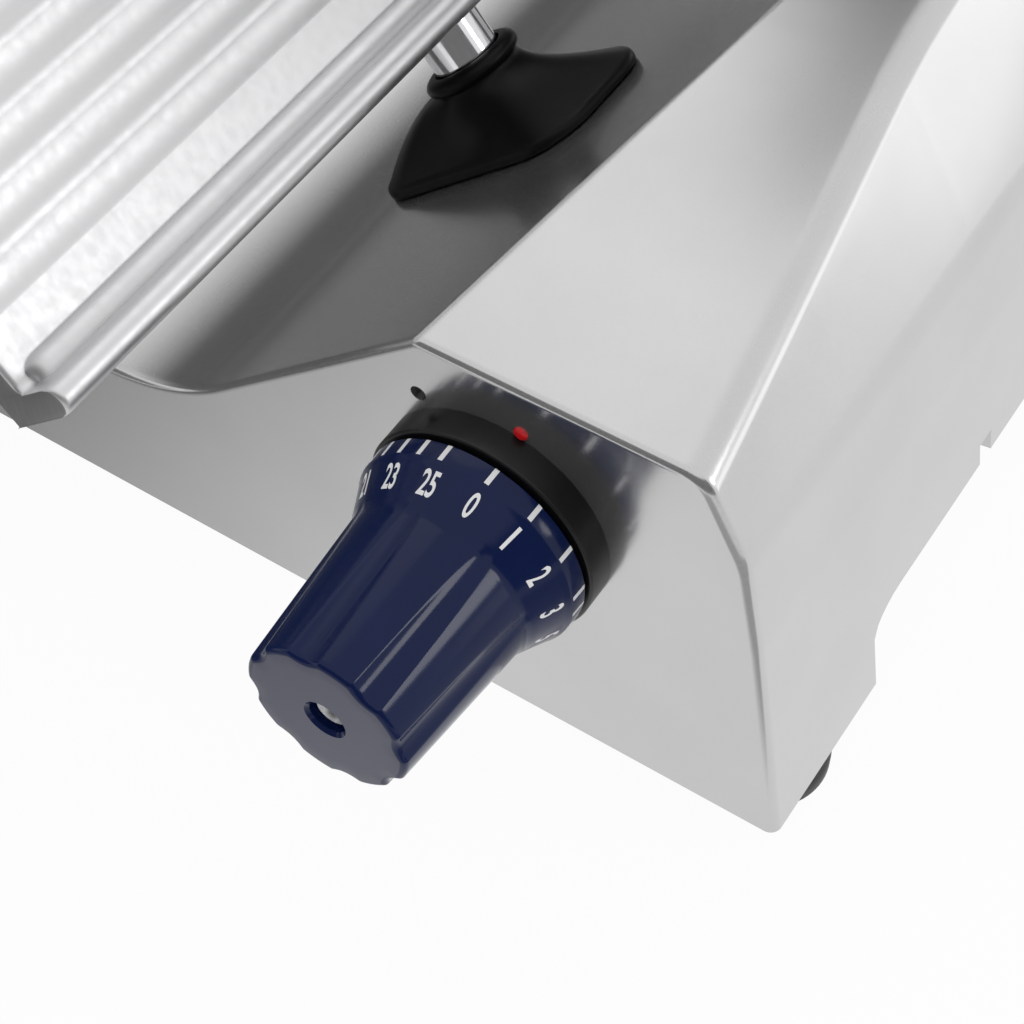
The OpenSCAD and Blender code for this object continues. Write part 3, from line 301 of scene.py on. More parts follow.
def new_object(name, bm):
    """An object with a mesh as its own, linked into the scene."""
    mesh = bpy.data.meshes.new(name)
    bm.to_mesh(mesh)
    bm.free()
    obj = bpy.data.objects.new(name, mesh)
    bpy.context.scene.collection.objects.link(obj)
    return obj


def piece(name, bm, body, material, sharp=35):
    """Finishes a mesh as a piece that rides on a body."""
    bmesh.ops.remove_doubles(bm, verts=bm.verts, dist=1e-6)
    bmesh.ops.dissolve_degenerate(bm, edges=bm.edges, dist=1e-7)
    bmesh.ops.recalc_face_normals(bm, faces=bm.faces)
    obj = new_object(name, bm)
    finish_faces(obj, sharp)
    obj.data.materials.append(material)
    if body:
        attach(obj, body)
    return obj


def finish_faces(obj, sharp):
    """Smooth faces with sharp edges where the surface turns by more than an angle."""
    obj.data.polygons.foreach_set("use_smooth", [True] * len(obj.data.polygons))
    obj.data.set_sharp_from_angle(angle=math.radians(sharp))


def circle(x, y, radius, count=32, start=0.0, turn=2 * math.pi):
    """Points on a circle, or on an arc of it, as pairs."""
    angles = [start + turn * i / count for i in range(count)]
    return [(x + radius * math.cos(a), y + radius * math.sin(a)) for a in angles]


def fan(bm, ring):
    """Closes a ring with a face to its middle."""
    middle = bm.verts.new(sum((v.co for v in ring), Vector()) / len(ring))
    for i, vert in enumerate(ring):
        bm.faces.new((vert, ring[(i + 1) % len(ring)], middle))


def revolved(bm, profile, place, count, capped=False):
    """A turned solid: profile in (radius, height), place takes (x, y, height)."""
    rows = [[place(x, y, height) for x, y in circle(0, 0, radius, count)] for radius, height in profile]
    made = rows_into(bm, rows, True)
    if capped:
        fan(bm, made[0])
        fan(bm, made[-1])


# The base casting's shell, in millimetres from CORNER

DECK_H, BODY_W, BODY_L, SHELL_T = 46, 261.8, 420, 4.6
# Where the top starts on the left at the front, its height there, and its rise towards the right
TOP_X, TOP_H, TOP_RISE = 165.5, 112, 0.8
# The top's left and right edge against the distance from the front
TOP_PLACES = ((-60, 154.0, 242.8), (0, TOP_X, 234.5), (130, 190.4, 216.5), (250, 205.0, 222.0),
              (480, 205.0, 222.0))
# Places over which the bends of these edges are evened out
BEND_SPREAD = (-24, -12, 0, 12, 24)
# Bends of the right side, in x and z
KNEE, CREASE = (250.8, 66), (245.5, 92)
# The inclined wall's place in the tilted frame, and where its plane meets the deck
WALL_W = -TOP_X * math.sin(TILT) + TOP_H * math.cos(TILT)
CORNER_X = TOP_X - (TOP_H - DECK_H) / math.tan(TILT)
# Edge radii of the front and back face, from the right side round to the left
SIDE_EDGES, EDGE_MOST = (3.0, 3.0, 3.2, 1.7, 1.9, 2.4, 3.2), 3.2
# Radii of the outline's corners, and the least that is left of them at the front and back
HOLLOW_R, RIDGE_R, SHOULDER_R, CREASE_R, KNEE_R, DECK_EDGE_R, LEAST_R = 60, 4.5, 9, 26, 120, 6, 0.4
# The right side's legs, the gap between them, its step and its notch
LEG_L, GAP_H, STEP_H, REAR_LEG, NOTCH = 50, 23, 16, 385, (106, 112, 6.5)
# Holes: the small one in the front face, those of the spindle, the cord inlet and the switch panel, and
# the post's slot, with the depths from the outer face between which each is cut
PEEP_X, PEEP_Z, PEEP_R = 166.3, 96, 2.0
SPINDLE_HOLE_R, INLET_X, INLET_Z, INLET_R = 9, 62, 24, 9
PANEL_Y, PANEL_Z = (153, 221), (12, 34)
POST_U, POST_Y, POST_HOLE, TRAVEL = 152.6, 91.5, 10.0, 25.0
SLOT_CUT, SPINDLE_CUT, INLET_CUT, PANEL_CUT = (-12, 8), (-3, 12), (-9, 4), (-3, 10)


def wall_z(x):
    """Height of the inclined wall's plane."""
    return (WALL_W + x * math.sin(TILT)) / math.cos(TILT)


def top_places(y):
    """Left and right edge of the casting's top, with its bends eased over some length."""
    lefts, rights = [(y0, x) for y0, x, _ in TOP_PLACES], [(y0, x) for y0, _, x in TOP_PLACES]
    return [sum(blend_line(line, y + s) for s in BEND_SPREAD) / len(BEND_SPREAD)
            for line in (lefts, rights)]


def right_low(y):
    """Height of the right side's lower edge: two legs with the carriage's gap between them."""
    if y <= LEG_L or y >= REAR_LEG:
        return 0.0
    reach = 2 * (GAP_H - STEP_H)
    if y < LEG_L + reach:
        t = (y - LEG_L) / reach
        return STEP_H + (GAP_H - STEP_H) * math.sqrt(max(0.0, 1 - (1 - t) ** 2))
    return GAP_H + (NOTCH[2] if NOTCH[0] < y < NOTCH[1] else 0.0)


def side_insets(depth):
    """How far each side of the outline is drawn in at a depth from the front or back face."""
    insets = []
    for edge in SIDE_EDGES:
        left = max(0.0, edge - depth)
        insets.append(edge - math.sqrt(edge ** 2 - left ** 2))
    return insets


def offset_corners(points, insets):
    """Corners of an open outline after each of its sides moves to its left by its inset."""
    lines = []
    for a, b, inset in zip(points, points[1:], insets):
        along = (b - a).normalized()
        lines.append((a + Vector((-along.y, along.x)) * inset, along))
    corners = [lines[0][0]]
    for (p, d), (q, e) in zip(lines, lines[1:]):
        cross = d.x * e.y - d.y * e.x
        corners.append(p + d * (((q - p).x * e.y - (q - p).y * e.x) / cross))
    corners.append(lines[-1][0] + lines[-1][1] * (points[-1] - points[-2]).length)
    return corners


def rounded(points, radii, counts, insets):
    """An open outline with rounded corners and a fixed number of points."""
    points = offset_corners(points, insets)
    line, start = [], points[0]
    for i in range(1, len(points) - 1):
        before, corner, after = points[i - 1], points[i], points[i + 1]
        a, b = (before - corner).normalized(), (after - corner).normalized()
        hollow = a.x * b.y - a.y * b.x > 0
        inset = (insets[i - 1] + insets[i]) / 2
        radius = radii[i - 1] + inset if hollow else max(LEAST_R, radii[i - 1] - inset)
        half = a.angle(b) / 2
        reach = radius / math.tan(half)
        middle = corner + (a + b).normalized() * (radius / math.sin(half))
        first, last = corner + a * reach - middle, corner + b * reach - middle
        turn = math.atan2(first.x * last.y - first.y * last.x, first.dot(last))
        flat, steps = counts[i - 1]
        line += [start.lerp(middle + first, k / flat) for k in range(flat)]
        for k in range(steps + 1):
            c, s = math.cos(turn * k / steps), math.sin(turn * k / steps)
            line.append(middle + Vector((first.x * c - first.y * s, first.x * s + first.y * c)))
        start = line.pop()
    flat = counts[-1][0]
    return line + [start.lerp(points[-1], k / flat) for k in range(flat + 1)]


def shell_outline(y, depth):
    """The outline from the lower right edge over the top and the deck to the lower left edge."""
    left, right = top_places(y)
    low = right_low(y)
    points = [Vector(p) for p in (
        (BODY_W - (BODY_W - KNEE[0]) * low / KNEE[1], low), KNEE, CREASE,
        (right, wall_z(left) + TOP_RISE), (left, wall_z(left)), (CORNER_X, DECK_H), (0, DECK_H), (0, 0))]
    radii = (KNEE_R, CREASE_R, SHOULDER_R, RIDGE_R, HOLLOW_R, DECK_EDGE_R)
    # Steps along each side and round the corner at its end
    counts = ((6, 3), (3, 6), (6, 10), (8, 6), (12, 24), (8, 8), (5, 0))
    outline = rounded(points, radii, counts, side_insets(depth))
    outline[0].y, outline[-1].y = low, 0.0
    return outline


def shell_stations():
    """Places along the body, each with its depth from the nearer of the front and back faces."""
    eased = [EDGE_MOST * (k / 10) ** 2 for k in range(11)]
    step = 0.02
    turns = [y + side * step for y in (LEG_L, NOTCH[0], NOTCH[1], REAR_LEG) for side in (-1, 1)]
    plain = list(range(8, 46, 8)) + [52, 54, 57, 60, 64, 70, 80, 90, 98, 104] + list(range(118, 382, 8))
    middle = sorted(turns + plain + [395, 408])
    front = [(y, y) for y in eased]
    back = [(BODY_L - y, y) for y in reversed(eased)]
    return front + [(y, EDGE_MOST) for y in middle] + back


def cut_by(obj, cutters):
    """Cuts closed meshes out of an object, and keeps the result as its mesh."""
    for tool in cutters:
        cut = obj.modifiers.new("cut", "BOOLEAN")
        cut.operation, cut.solver, cut.object = "DIFFERENCE", "EXACT", tool
    bpy.context.view_layer.update()
    result = bpy.data.meshes.new_from_object(obj.evaluated_get(bpy.context.evaluated_depsgraph_get()))
    obj.modifiers.clear()
    old, obj.data = obj.data, result
    bpy.data.meshes.remove(old)
    for tool in cutters:
        mesh = tool.data
        bpy.data.objects.remove(tool)
        bpy.data.meshes.remove(mesh)


def prism(outline, depths, place):
    """A closed prism between two depths: place takes a point of the outline and a depth."""
    bm = bmesh.new()
    for ring in rows_into(bm, [[place(*p, depth) for p in outline] for depth in depths], True):
        bm.faces.new(ring)
    return bm


def oblong(a, b):
    """The corners of a rectangle between two pairs of limits."""
    return [(a[0], b[0]), (a[1], b[0]), (a[1], b[1]), (a[0], b[1])]


def slot_outline():
    """The post's slot in the inclined wall, in u and y."""
    near = circle(POST_U, POST_Y, POST_HOLE, 16, -math.pi / 2, math.pi)
    far = circle(POST_U - TRAVEL, POST_Y, POST_HOLE, 16, math.pi / 2, math.pi)
    return near + far


def base_shell():
    """The hollow casting with its holes."""
    bm = bmesh.new()
    rows = [[at(p.x, y, p.y) for p in shell_outline(y, depth)] for y, depth in shell_stations()]
    made = rows_into(bm, rows, False)
    peep = [bm.verts.new(at(x, 0, z)) for x, z in circle(PEEP_X, PEEP_Z, PEEP_R, 16)]
    for ring, hole in ((made[0], peep), (made[-1], [])):
        edges = []
        for loop in (ring, hole):
            for i, vert in enumerate(loop):
                after = loop[(i + 1) % len(loop)]
                edges.append(bm.edges.get((vert, after)) or bm.edges.new((vert, after)))
        bmesh.ops.triangle_fill(bm, use_beauty=True, use_dissolve=False, edges=edges)
    obj = piece("base_shell", bm, None, CAST)
    wall = obj.modifiers.new("wall", "SOLIDIFY")
    wall.thickness, wall.offset, wall.use_even_offset = SHELL_T * MM, -1, True
    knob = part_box("thickness_knob")
    knob_at = ((knob[0] + knob[1]) / 2 - CORNER) / MM
    bores = [
        prism(slot_outline(), SLOT_CUT, lambda u, y, d: tilted(u, y, WALL_W + d)),
        prism(circle(knob_at.x, knob_at.z, SPINDLE_HOLE_R), SPINDLE_CUT, lambda x, z, d: at(x, d, z)),
        prism(circle(INLET_X, INLET_Z, INLET_R), INLET_CUT, lambda x, z, d: at(x, BODY_L + d, z)),
        prism(oblong(PANEL_Y, PANEL_Z), PANEL_CUT, lambda y, z, d: at(d, y, z)),
    ]
    for bore in bores:
        bmesh.ops.recalc_face_normals(bore, faces=bore.faces)
    cut_by(obj, [new_object("cutter", bore) for bore in bores])
    finish_faces(obj, sharp=38)
    even = obj.modifiers.new("even", "WEIGHTED_NORMAL")
    even.keep_sharp = True
    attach(obj, "base")
    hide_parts("base_casting")


PAD_U, PAD_Y, PAD_W, PAD_EDGE = (96, 138), (266, 370), (WALL_W - 3, -12.6), 2.5


def pedestal():
    """The raised pad of the casting that the blade's neck stands on, with rounded edges."""
    bm = prism(oblong(PAD_U, PAD_Y), PAD_W, tilted)
    bmesh.ops.bevel(bm, geom=bm.edges[:], offset=PAD_EDGE * MM, segments=4, profile=0.5, affect="EDGES")
    piece("neck_pedestal", bm, "base", CAST, sharp=50)


# The thickness knob, its screw, its marks and its bezel

KNOB_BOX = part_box("thickness_knob")
KNOB_X, KNOB_Z = ((KNOB_BOX[0] + KNOB_BOX[1]) / 2).x, ((KNOB_BOX[0] + KNOB_BOX[1]) / 2).z
KNOB_BACK = (CORNER.y - KNOB_BOX[1].y) / MM
KNOB_L = (KNOB_BOX[1].y - KNOB_BOX[0].y) / MM
RIM_R = (KNOB_BOX[1].x - KNOB_BOX[0].x) / 2 / MM
# Lengths from the knob's back to the end of its rim, cone and neck, and the radii there
RIM_L, CONE_L, NECK_L, RIM_EASE, RIM_DROP = 4.8, 13.2, 17.0, 1.0, 0.7
CONE_R, NECK_R, GRIP_R, GRIP_EDGE = 23.5, 22.4, 19.8, 1.4
# The grip's flutes: their tips, the run over which they deepen, the power of that and their eased edge
FLUTES, FLUTE_R, FLUTE_DEPTH, FLUTE_TURN = 8, 7.5, 1.3, math.radians(33)
FLUTE_TIP, FLUTE_RUN, FLUTE_RISE, FLUTE_EASE = 14.0, 40.0, 0.55, 0.2
# The skin's sides and rows, and the bores at its back and for the screw
KNOB_SIDES, GRIP_STEP, BACK_BORE_R, SCREW_BORE_R = 400, 0.55, 6.0, 2.2
SCREW_HOLE_R, SCREW_HOLE_L, SCREW_TOP, HOLE_EDGE = 4.4, 9.0, 2.4, 0.8
# The screw's own shank, head and socket, and how far its head is dished
SHANK_R, HEAD_R, SOCKET_R, SOCKET_L, DISH = 2.0, 3.9, 1.6, 2.4, 0.9


def knob_profile():
    """Radius against the distance from the knob's back, with the rim and cone eased."""
    cone_at, cone_from = RIM_L + RIM_EASE, RIM_R - RIM_DROP
    line = [(0.0, RIM_R - 0.6), (0.15, RIM_R - 0.3), (0.5, RIM_R), (RIM_L, RIM_R - 0.15),
            (RIM_L + RIM_EASE / 2, RIM_R - RIM_DROP / 2), (cone_at, cone_from)]
    steps = [k / 8 for k in range(1, 9)]
    line += [(cone_at + (CONE_L - cone_at) * t, cone_from + (CONE_R - cone_from) * t) for t in steps]
    line += [(CONE_L + (NECK_L - CONE_L) * t, CONE_R + (NECK_R - CONE_R) * (1 - (1 - t) ** 2))
             for t in steps]
    return line


def knob_radius(z):
    """Radius of the knob without its flutes."""
    end = KNOB_L - GRIP_EDGE
    if z <= NECK_L:
        return blend_line(knob_profile(), z)
    if z <= end:
        return NECK_R + (GRIP_R - NECK_R) * (z - NECK_L) / (end - NECK_L)
    t = (z - end) / GRIP_EDGE
    return GRIP_R - GRIP_EDGE * (1 - math.sqrt(max(0.0, 1 - t * t)))


def fluted_radius(angle, z):
    """Radius of the grip with its scooped flutes, which open from a round tip near the dial."""
    radius = knob_radius(z)
    pitch = 2 * math.pi / FLUTES
    off = (angle - FLUTE_TURN + pitch / 2) % pitch - pitch / 2
    depth = FLUTE_DEPTH * clamp((z - FLUTE_TIP) / FLUTE_RUN, 0, 1) ** FLUTE_RISE
    floor = radius - depth + (radius * math.sin(off)) ** 2 * (1 / FLUTE_R + 1 / radius) / 2
    if depth == 0:
        return radius
    h = clamp(0.5 + (floor - radius) / (2 * FLUTE_EASE), 0, 1)
    return floor * (1 - h) + radius * h - FLUTE_EASE * h * (1 - h)


def on_knob(angle, radius, z):
    """A point of the knob: angle clockwise from the top as the operator sees it."""
    return Vector((KNOB_X + radius * MM * math.sin(angle), CORNER.y - (KNOB_BACK + z) * MM,
                   KNOB_Z + radius * MM * math.cos(angle)))


def knob():
    """The knob in one turned and fluted skin, with the hole for its screw."""
    angles = [2 * math.pi * i / KNOB_SIDES for i in range(KNOB_SIDES)]
    places = [z for z, _ in knob_profile()]
    grip_l = KNOB_L - GRIP_EDGE - NECK_L
    steps = int(grip_l / GRIP_STEP)
    places += [NECK_L + grip_l * k / steps for k in range(1, steps + 1)]
    places += [KNOB_L - GRIP_EDGE + GRIP_EDGE * math.sin(math.radians(a)) for a in range(15, 91, 15)]
    rows = [[on_knob(a, BACK_BORE_R, 0.0) for a in angles]]
    rows += [[on_knob(a, fluted_radius(a, z), z) for a in angles] for z in places]
    rim = [fluted_radius(a, KNOB_L) for a in angles]
    mouth = SCREW_HOLE_R + HOLE_EDGE
    for k in (0.25, 0.5, 0.75, 1.0):
        rows.append([on_knob(a, r + (mouth - r) * k, KNOB_L) for a, r in zip(angles, rim)])
    hole = ((SCREW_HOLE_R, HOLE_EDGE), (SCREW_HOLE_R, SCREW_HOLE_L), (SCREW_BORE_R, SCREW_HOLE_L))
    rows += [[on_knob(a, radius, KNOB_L - depth) for a in angles] for radius, depth in hole]
    bm = bmesh.new()
    rows_into(bm, rows, True)
    obj = piece("fluted_knob", bm, "knob", BLUE, sharp=40)
    obj.data.materials.append(BLUE_END)
    end = CORNER.y - (KNOB_BACK + KNOB_L - 0.01) * MM
    for face in obj.data.polygons:
        face.material_index = 1 if face.center.y < end else 0
    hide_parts("thickness_knob")


def knob_screw():
    """The screw that holds the knob: a dished socket head in the grip's hole."""
    back = (KNOB_BOX[1].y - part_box("knob_screw")[1].y) / MM
    head, top = KNOB_L - SCREW_HOLE_L + 0.2, KNOB_L - SCREW_TOP
    profile = [(SHANK_R - 0.3, back), (SHANK_R, back + 0.4), (SHANK_R, head), (HEAD_R - 0.2, head),
               (HEAD_R, head + 0.2), (HEAD_R, top - 0.5), (HEAD_R - 0.05, top - 0.1), (HEAD_R - 0.2, top),
               (SOCKET_R + 0.1, top - DISH), (SOCKET_R, top - DISH - 0.2), (SOCKET_R, top - SOCKET_L)]
    bm = bmesh.new()
    start = Vector((KNOB_X, KNOB_BOX[1].y, KNOB_Z))
    revolved(bm, profile, lambda x, z, h: start + Vector((x, -h, z)) * MM, 60, capped=True)
    obj = piece("grip_screw", bm, "knob", SCREW, sharp=40)
    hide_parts("knob_screw")


DOT = (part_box("index_dot")[0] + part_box("index_dot")[1]) / 2
DOT_ANGLE = math.degrees(math.atan2(DOT.x - KNOB_X, DOT.z - KNOB_Z))
# The dial's values: how many steps are wide, the steps in degrees, and the zero's place past the dot
SCALE_END, WIDE_COUNT, WIDE_STEP, STEP, ZERO_OFF = 25, 3, 24.0, 12.0, 1.2
# Numbers, lines and the dash that stands for the one, and the strips they are split into
DIGIT_H, DIGIT_SQUEEZE, DIGIT_WEIGHT, LABEL_Z = 5.4, 0.58, 0.17, 9.5
MARK_W, MARK_SHORT, MARK_Z, DASH_W, MARK_T = 1.15, 0.5, RIM_L / 2 + 0.15, 0.85, 0.06
SLICE_W, SLICES = 0.5, 6


def scale_angle(value):
    """Angle of a value on the dial: the first steps are twice as wide as the rest."""
    wide = min(value, WIDE_COUNT)
    return math.radians(DOT_ANGLE + ZERO_OFF + wide * WIDE_STEP + (value - wide) * STEP)


def wrapped(bm, mark, value, middle):
    """Lays a flat mark on the dial: its up points to the dial's back edge."""
    angle = scale_angle(value)
    round_at = knob_radius(middle)
    for vert in mark.verts:
        x, y, h = vert.co
        z = middle - y
        vert.co = on_knob(angle + x / round_at, knob_radius(z) + h, z)
    mesh = bpy.data.meshes.new("mark")
    mark.to_mesh(mesh)
    mark.free()
    bm.from_mesh(mesh)
    bpy.data.meshes.remove(mesh)


def sliced(bm, width):
    """Splits a flat mark into strips, so that it can follow the dial's curve."""
    steps = max(2, int(width / SLICE_W))
    planes = [((-width / 2 + width * k / steps, 0, 0), (1, 0, 0)) for k in range(1, steps)]
    planes += [((0, -DIGIT_H / 2 + DIGIT_H * k / SLICES, 0), (0, 1, 0)) for k in range(1, SLICES)]
    for place, across in planes:
        bmesh.ops.bisect_plane(bm, geom=bm.verts[:] + bm.edges[:] + bm.faces[:],
                               plane_co=place, plane_no=across)
    return bm


def bar_mark(width, length):
    """A plain bar, middle at the origin, in millimetres."""
    bm = bmesh.new()
    bmesh.ops.create_cube(bm, size=1.0)
    bmesh.ops.scale(bm, vec=(width, length, 2 * MARK_T), verts=bm.verts)
    return bm


def digits(text):
    """Generic numerals as a thin closed mesh, middle at the origin, in millimetres."""
    curve = bpy.data.curves.new("digits", "FONT")
    curve.body, curve.size, curve.resolution_u = text, 10.0, 5
    curve.extrude, curve.offset = MARK_T, DIGIT_WEIGHT
    obj = bpy.data.objects.new("digits", curve)
    bpy.context.scene.collection.objects.link(obj)
    bpy.context.view_layer.update()
    mesh = bpy.data.meshes.new_from_object(obj.evaluated_get(bpy.context.evaluated_depsgraph_get()))
    bpy.data.objects.remove(obj)
    bpy.data.curves.remove(curve)
    bm = bmesh.new()
    bm.from_mesh(mesh)
    bpy.data.meshes.remove(mesh)
    bmesh.ops.remove_doubles(bm, verts=bm.verts, dist=1e-4)
    xs, ys = [v.co.x for v in bm.verts], [v.co.y for v in bm.verts]
    size = DIGIT_H / (max(ys) - min(ys))
    for vert in bm.verts:
        vert.co.x = (vert.co.x - (max(xs) + min(xs)) / 2) * size * DIGIT_SQUEEZE
        vert.co.y = (vert.co.y - (max(ys) + min(ys)) / 2) * size
    return sliced(bm, (max(xs) - min(xs)) * size * DIGIT_SQUEEZE)


def dial_marks():
    """A line for every value on the rim, and on the cone numbers for some and a dash for the one."""
    bm = bmesh.new()
    for value in range(SCALE_END + 1):
        wrapped(bm, sliced(bar_mark(MARK_W, RIM_L - MARK_SHORT), MARK_W), value, MARK_Z)
    for value in [0, 2] + list(range(3, SCALE_END + 1, 2)):
        wrapped(bm, digits(str(value)), value, LABEL_Z)
    wrapped(bm, sliced(bar_mark(DASH_W, DIGIT_H), DASH_W), 1, LABEL_Z)
    piece("dial_marks", bm, "knob", MARKS, sharp=40)


# The red bead, and how much smaller and thinner than its solid the bezel is, with its edge and bore
DOT_R, DOT_RISE, DOT_SINK, DOT_OUT = 1.75, 0.9, 0.3, 0.1
BEZEL_SLIM, BEZEL_SET, BEZEL_EDGE, BEZEL_BORE_R = 1.5, 0.5, 0.7, 11.0


def bezel():
    """The black ring behind the dial, and the red bead on the front face just above it."""
    low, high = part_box("dial_bezel")
    reach = (high.x - low.x) / 2 / MM
    thick, outer = (high.y - low.y) / MM - BEZEL_SET, reach - BEZEL_SLIM
    profile = [(BEZEL_BORE_R, 0.0), (outer, 0.0)]
    for k in range(9):
        a = math.radians(90 * k / 8)
        profile.append((outer - BEZEL_EDGE * (1 - math.cos(a)), thick - BEZEL_EDGE * (1 - math.sin(a))))
    profile += [(BEZEL_BORE_R, thick), (BEZEL_BORE_R, 0.0)]
    bm = bmesh.new()
    start = Vector((KNOB_X, CORNER.y, KNOB_Z))
    revolved(bm, profile, lambda x, z, h: start + Vector((x, -h, z)) * MM, 160)
    obj = piece("bezel_ring", bm, "base", BLACK, sharp=40)
    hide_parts("dial_bezel")
    angle = math.radians(DOT_ANGLE)
    middle = start + Vector((math.sin(angle), 0, math.cos(angle))) * (reach + DOT_OUT) * MM
    dot_profile = [(DOT_R, -DOT_SINK)]
    for a in map(math.radians, range(0, 90, 15)):
        dot_profile.append((DOT_R * math.cos(a), DOT_RISE * math.sin(a)))
    dome = bmesh.new()
    revolved(dome, dot_profile, lambda x, z, h: middle + Vector((x, -h, z)) * MM, 40, capped=True)
    dot = piece("index_bead", dome, "base", RED, sharp=50)
    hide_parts("index_dot")


# The gauge plate with its flutes, bead and ledge, in the tilted frame

FACE_U, BACK_U, PLATE_FRONT, PLATE_REAR, PLATE_TOP = 153.0, 141.8, -54.0, 245.0, 203.5
# The front end's easing, the top edge's radius, and how far behind the face the easing still applies
PLATE_EASE, PLATE_EDGE, FACE_DEPTH = 1.4, 2.0, 2.0
LEDGE_W, LEDGE_END, LEDGE_R, BACK_STEP = 3.5, 162.5, 3.5, 0.4
# The bead above the ledge, where it starts, and the hollow that the ledge has ahead of it
BEAD_U, BEAD_W, BEAD_R, BEAD_Y, HOLLOW = 153.4, 10.7, 4.5, -45.5, 2.4
# Points of the plain strip above the bead, and the flutes above that
STRIP_WS = (18.0, 21.0, 25.1)
FLUTE_PITCH, FLUTE_W, FLUTE_D, FIRST_FLUTE, TOP_MARGIN = 10.3, 8.7, 0.7, 29.85, 2.4
# The blade's middle, and the radius round it that the plate leaves free
BLADE_Y, BLADE_W, BLADE_CLEAR = 318.0, 122.0, 127.5


def plate_face(y):
    """The plate's face side from its lower back corner to its top, in u and w."""
    first = BACK_U + BACK_STEP
    line = [(BACK_U, LEDGE_W)] + [(first + (LEDGE_END - first) * k / 6, LEDGE_W) for k in range(6)]
    for k in range(13):
        a = math.radians(-90 + 180 * k / 12)
        line.append((LEDGE_END + LEDGE_R * math.cos(a), LEDGE_W + LEDGE_R + LEDGE_R * math.sin(a)))
    floor = LEDGE_W + 2 * LEDGE_R
    ahead = clamp((BEAD_Y - y) / BEAD_R, 0, 1)
    full = math.sqrt(1 - ahead ** 2)
    low = math.asin((floor - BEAD_W) / BEAD_R)
    high = math.acos((FACE_U - BEAD_U) / BEAD_R)
    for k in range(17):
        a, b = low + (high - low) * k / 16, math.radians(-90 - 90 * k / 16)
        bead = Vector((BEAD_U + BEAD_R * math.cos(a), BEAD_W + BEAD_R * math.sin(a)))
        hollow = Vector((FACE_U + HOLLOW + HOLLOW * math.cos(b), floor + HOLLOW + HOLLOW * math.sin(b)))
        line.append(tuple(hollow.lerp(bead, full)))
    line += [(FACE_U, w) for w in STRIP_WS]
    curve = (FLUTE_W ** 2 / 4 + FLUTE_D ** 2) / (2 * FLUTE_D)
    middle = FIRST_FLUTE
    while middle + FLUTE_W / 2 < PLATE_TOP - TOP_MARGIN:
        for k in range(13):
            off = FLUTE_W * (k / 12 - 0.5)
            depth = math.sqrt(curve ** 2 - off ** 2) - (curve - FLUTE_D)
            line.append((FACE_U - depth, middle + off))
        line.append((FACE_U, middle + FLUTE_W / 2 + (FLUTE_PITCH - FLUTE_W) / 2))
        middle += FLUTE_PITCH
    for k in range(7):
        a = math.radians(90 * k / 6)
        line.append((FACE_U - PLATE_EDGE * (1 - math.cos(a)), PLATE_TOP - PLATE_EDGE * (1 - math.sin(a))))
    return line


def plate_rear(w):
    """Where the plate ends behind: straight, then round the blade with room to turn."""
    reach = BLADE_CLEAR ** 2 - (w - BLADE_W) ** 2
    return min(PLATE_REAR, BLADE_Y - math.sqrt(reach)) if reach > 0 else PLATE_REAR


def gauge_plate():
    """The plate: its front end eased, the bead's end round, the rest straight on to its rear edge."""
    stations = []
    for a in map(math.radians, (0, 22.5, 45, 67.5, 90)):
        stations.append((PLATE_FRONT + PLATE_EASE * (1 - math.cos(a)), PLATE_EASE * (1 - math.sin(a))))
    for a in map(math.radians, (0, 5, 12, 20, 30, 45, 60, 75, 90)):
        stations.append((BEAD_Y - BEAD_R * math.cos(a), 0.0))
    rows = []
    for y, shrink in stations:
        face = plate_face(y)
        rows.append([tilted(u - shrink * (u > FACE_U - FACE_DEPTH), y, w) for u, w in face]
                    + [tilted(BACK_U + shrink, y, w) for _, w in reversed(face)])
    face = plate_face(0.0)
    both = face + [(BACK_U, w) for _, w in reversed(face)]
    for share in (0.25, 0.5, 0.75, 1.0):
        rows.append([tilted(u, BEAD_Y + (plate_rear(w) - BEAD_Y) * share, w) for u, w in both])
    bm = bmesh.new()
    made = rows_into(bm, rows, True)
    half = len(face)
    for ring in (made[0], made[-1]):
        for k in range(half - 1):
            bm.faces.new((ring[k], ring[k + 1], ring[2 * half - 2 - k], ring[2 * half - 1 - k]))
    obj = piece("ribbed_gauge_plate", bm, "gauge", PLATE, sharp=28)
    # The end faces take the darker material, whose colour is painted shade
    obj.data.materials.append(PLATE_END_SHADED)
    bead_end = CORNER.y + (BEAD_Y - BEAD_R - 0.5) * MM, CORNER.y + BEAD_Y * MM
    for side in obj.data.polygons:
        is_end = abs(side.normal.y) > 0.9 and not bead_end[0] < side.center.y < bead_end[1]
        side.material_index = 1 if is_end else 0
    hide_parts("gauge_plate")


# The rubber boot round the gauge plate's post

# The foot's outline and its shift from the post, then the height, the neck and the wall
BOOT_L, BOOT_B, BOOT_CORNER_R, BOOT_SHIFT = 72.0, 43.0, 14.0, 2.0
BOOT_H, BOOT_NECK_R, BOOT_BORE_R, BOOT_WALL = 21.0, 11.1, 9.0, 2.4
# The boot's seat on the wall, the powers of its full and its hollow curve, the neck's bead and thickness
BOOT_SEAT, BOOT_BENDS, NECK_BEAD, NECK_T = WALL_W + 0.3, (0.6, 1.75), 4.4, 2.0
# Steps outwards and up: the rim from the foot's outline, the bead from the neck's end
BOOT_RIM = ((-4.0, 0.0), (-0.5, 0.0), (0.0, 0.5), (0.0, 1.6), (-0.3, 2.4), (-0.9, 2.9), (-1.4, 3.1))
BOOT_BEAD = ((0.1, -4.2), (0.6, -3.8), (1.3, -3.3), (1.6, -2.4), (1.5, -1.4), (0.8, -0.6), (-0.4, 0.0))


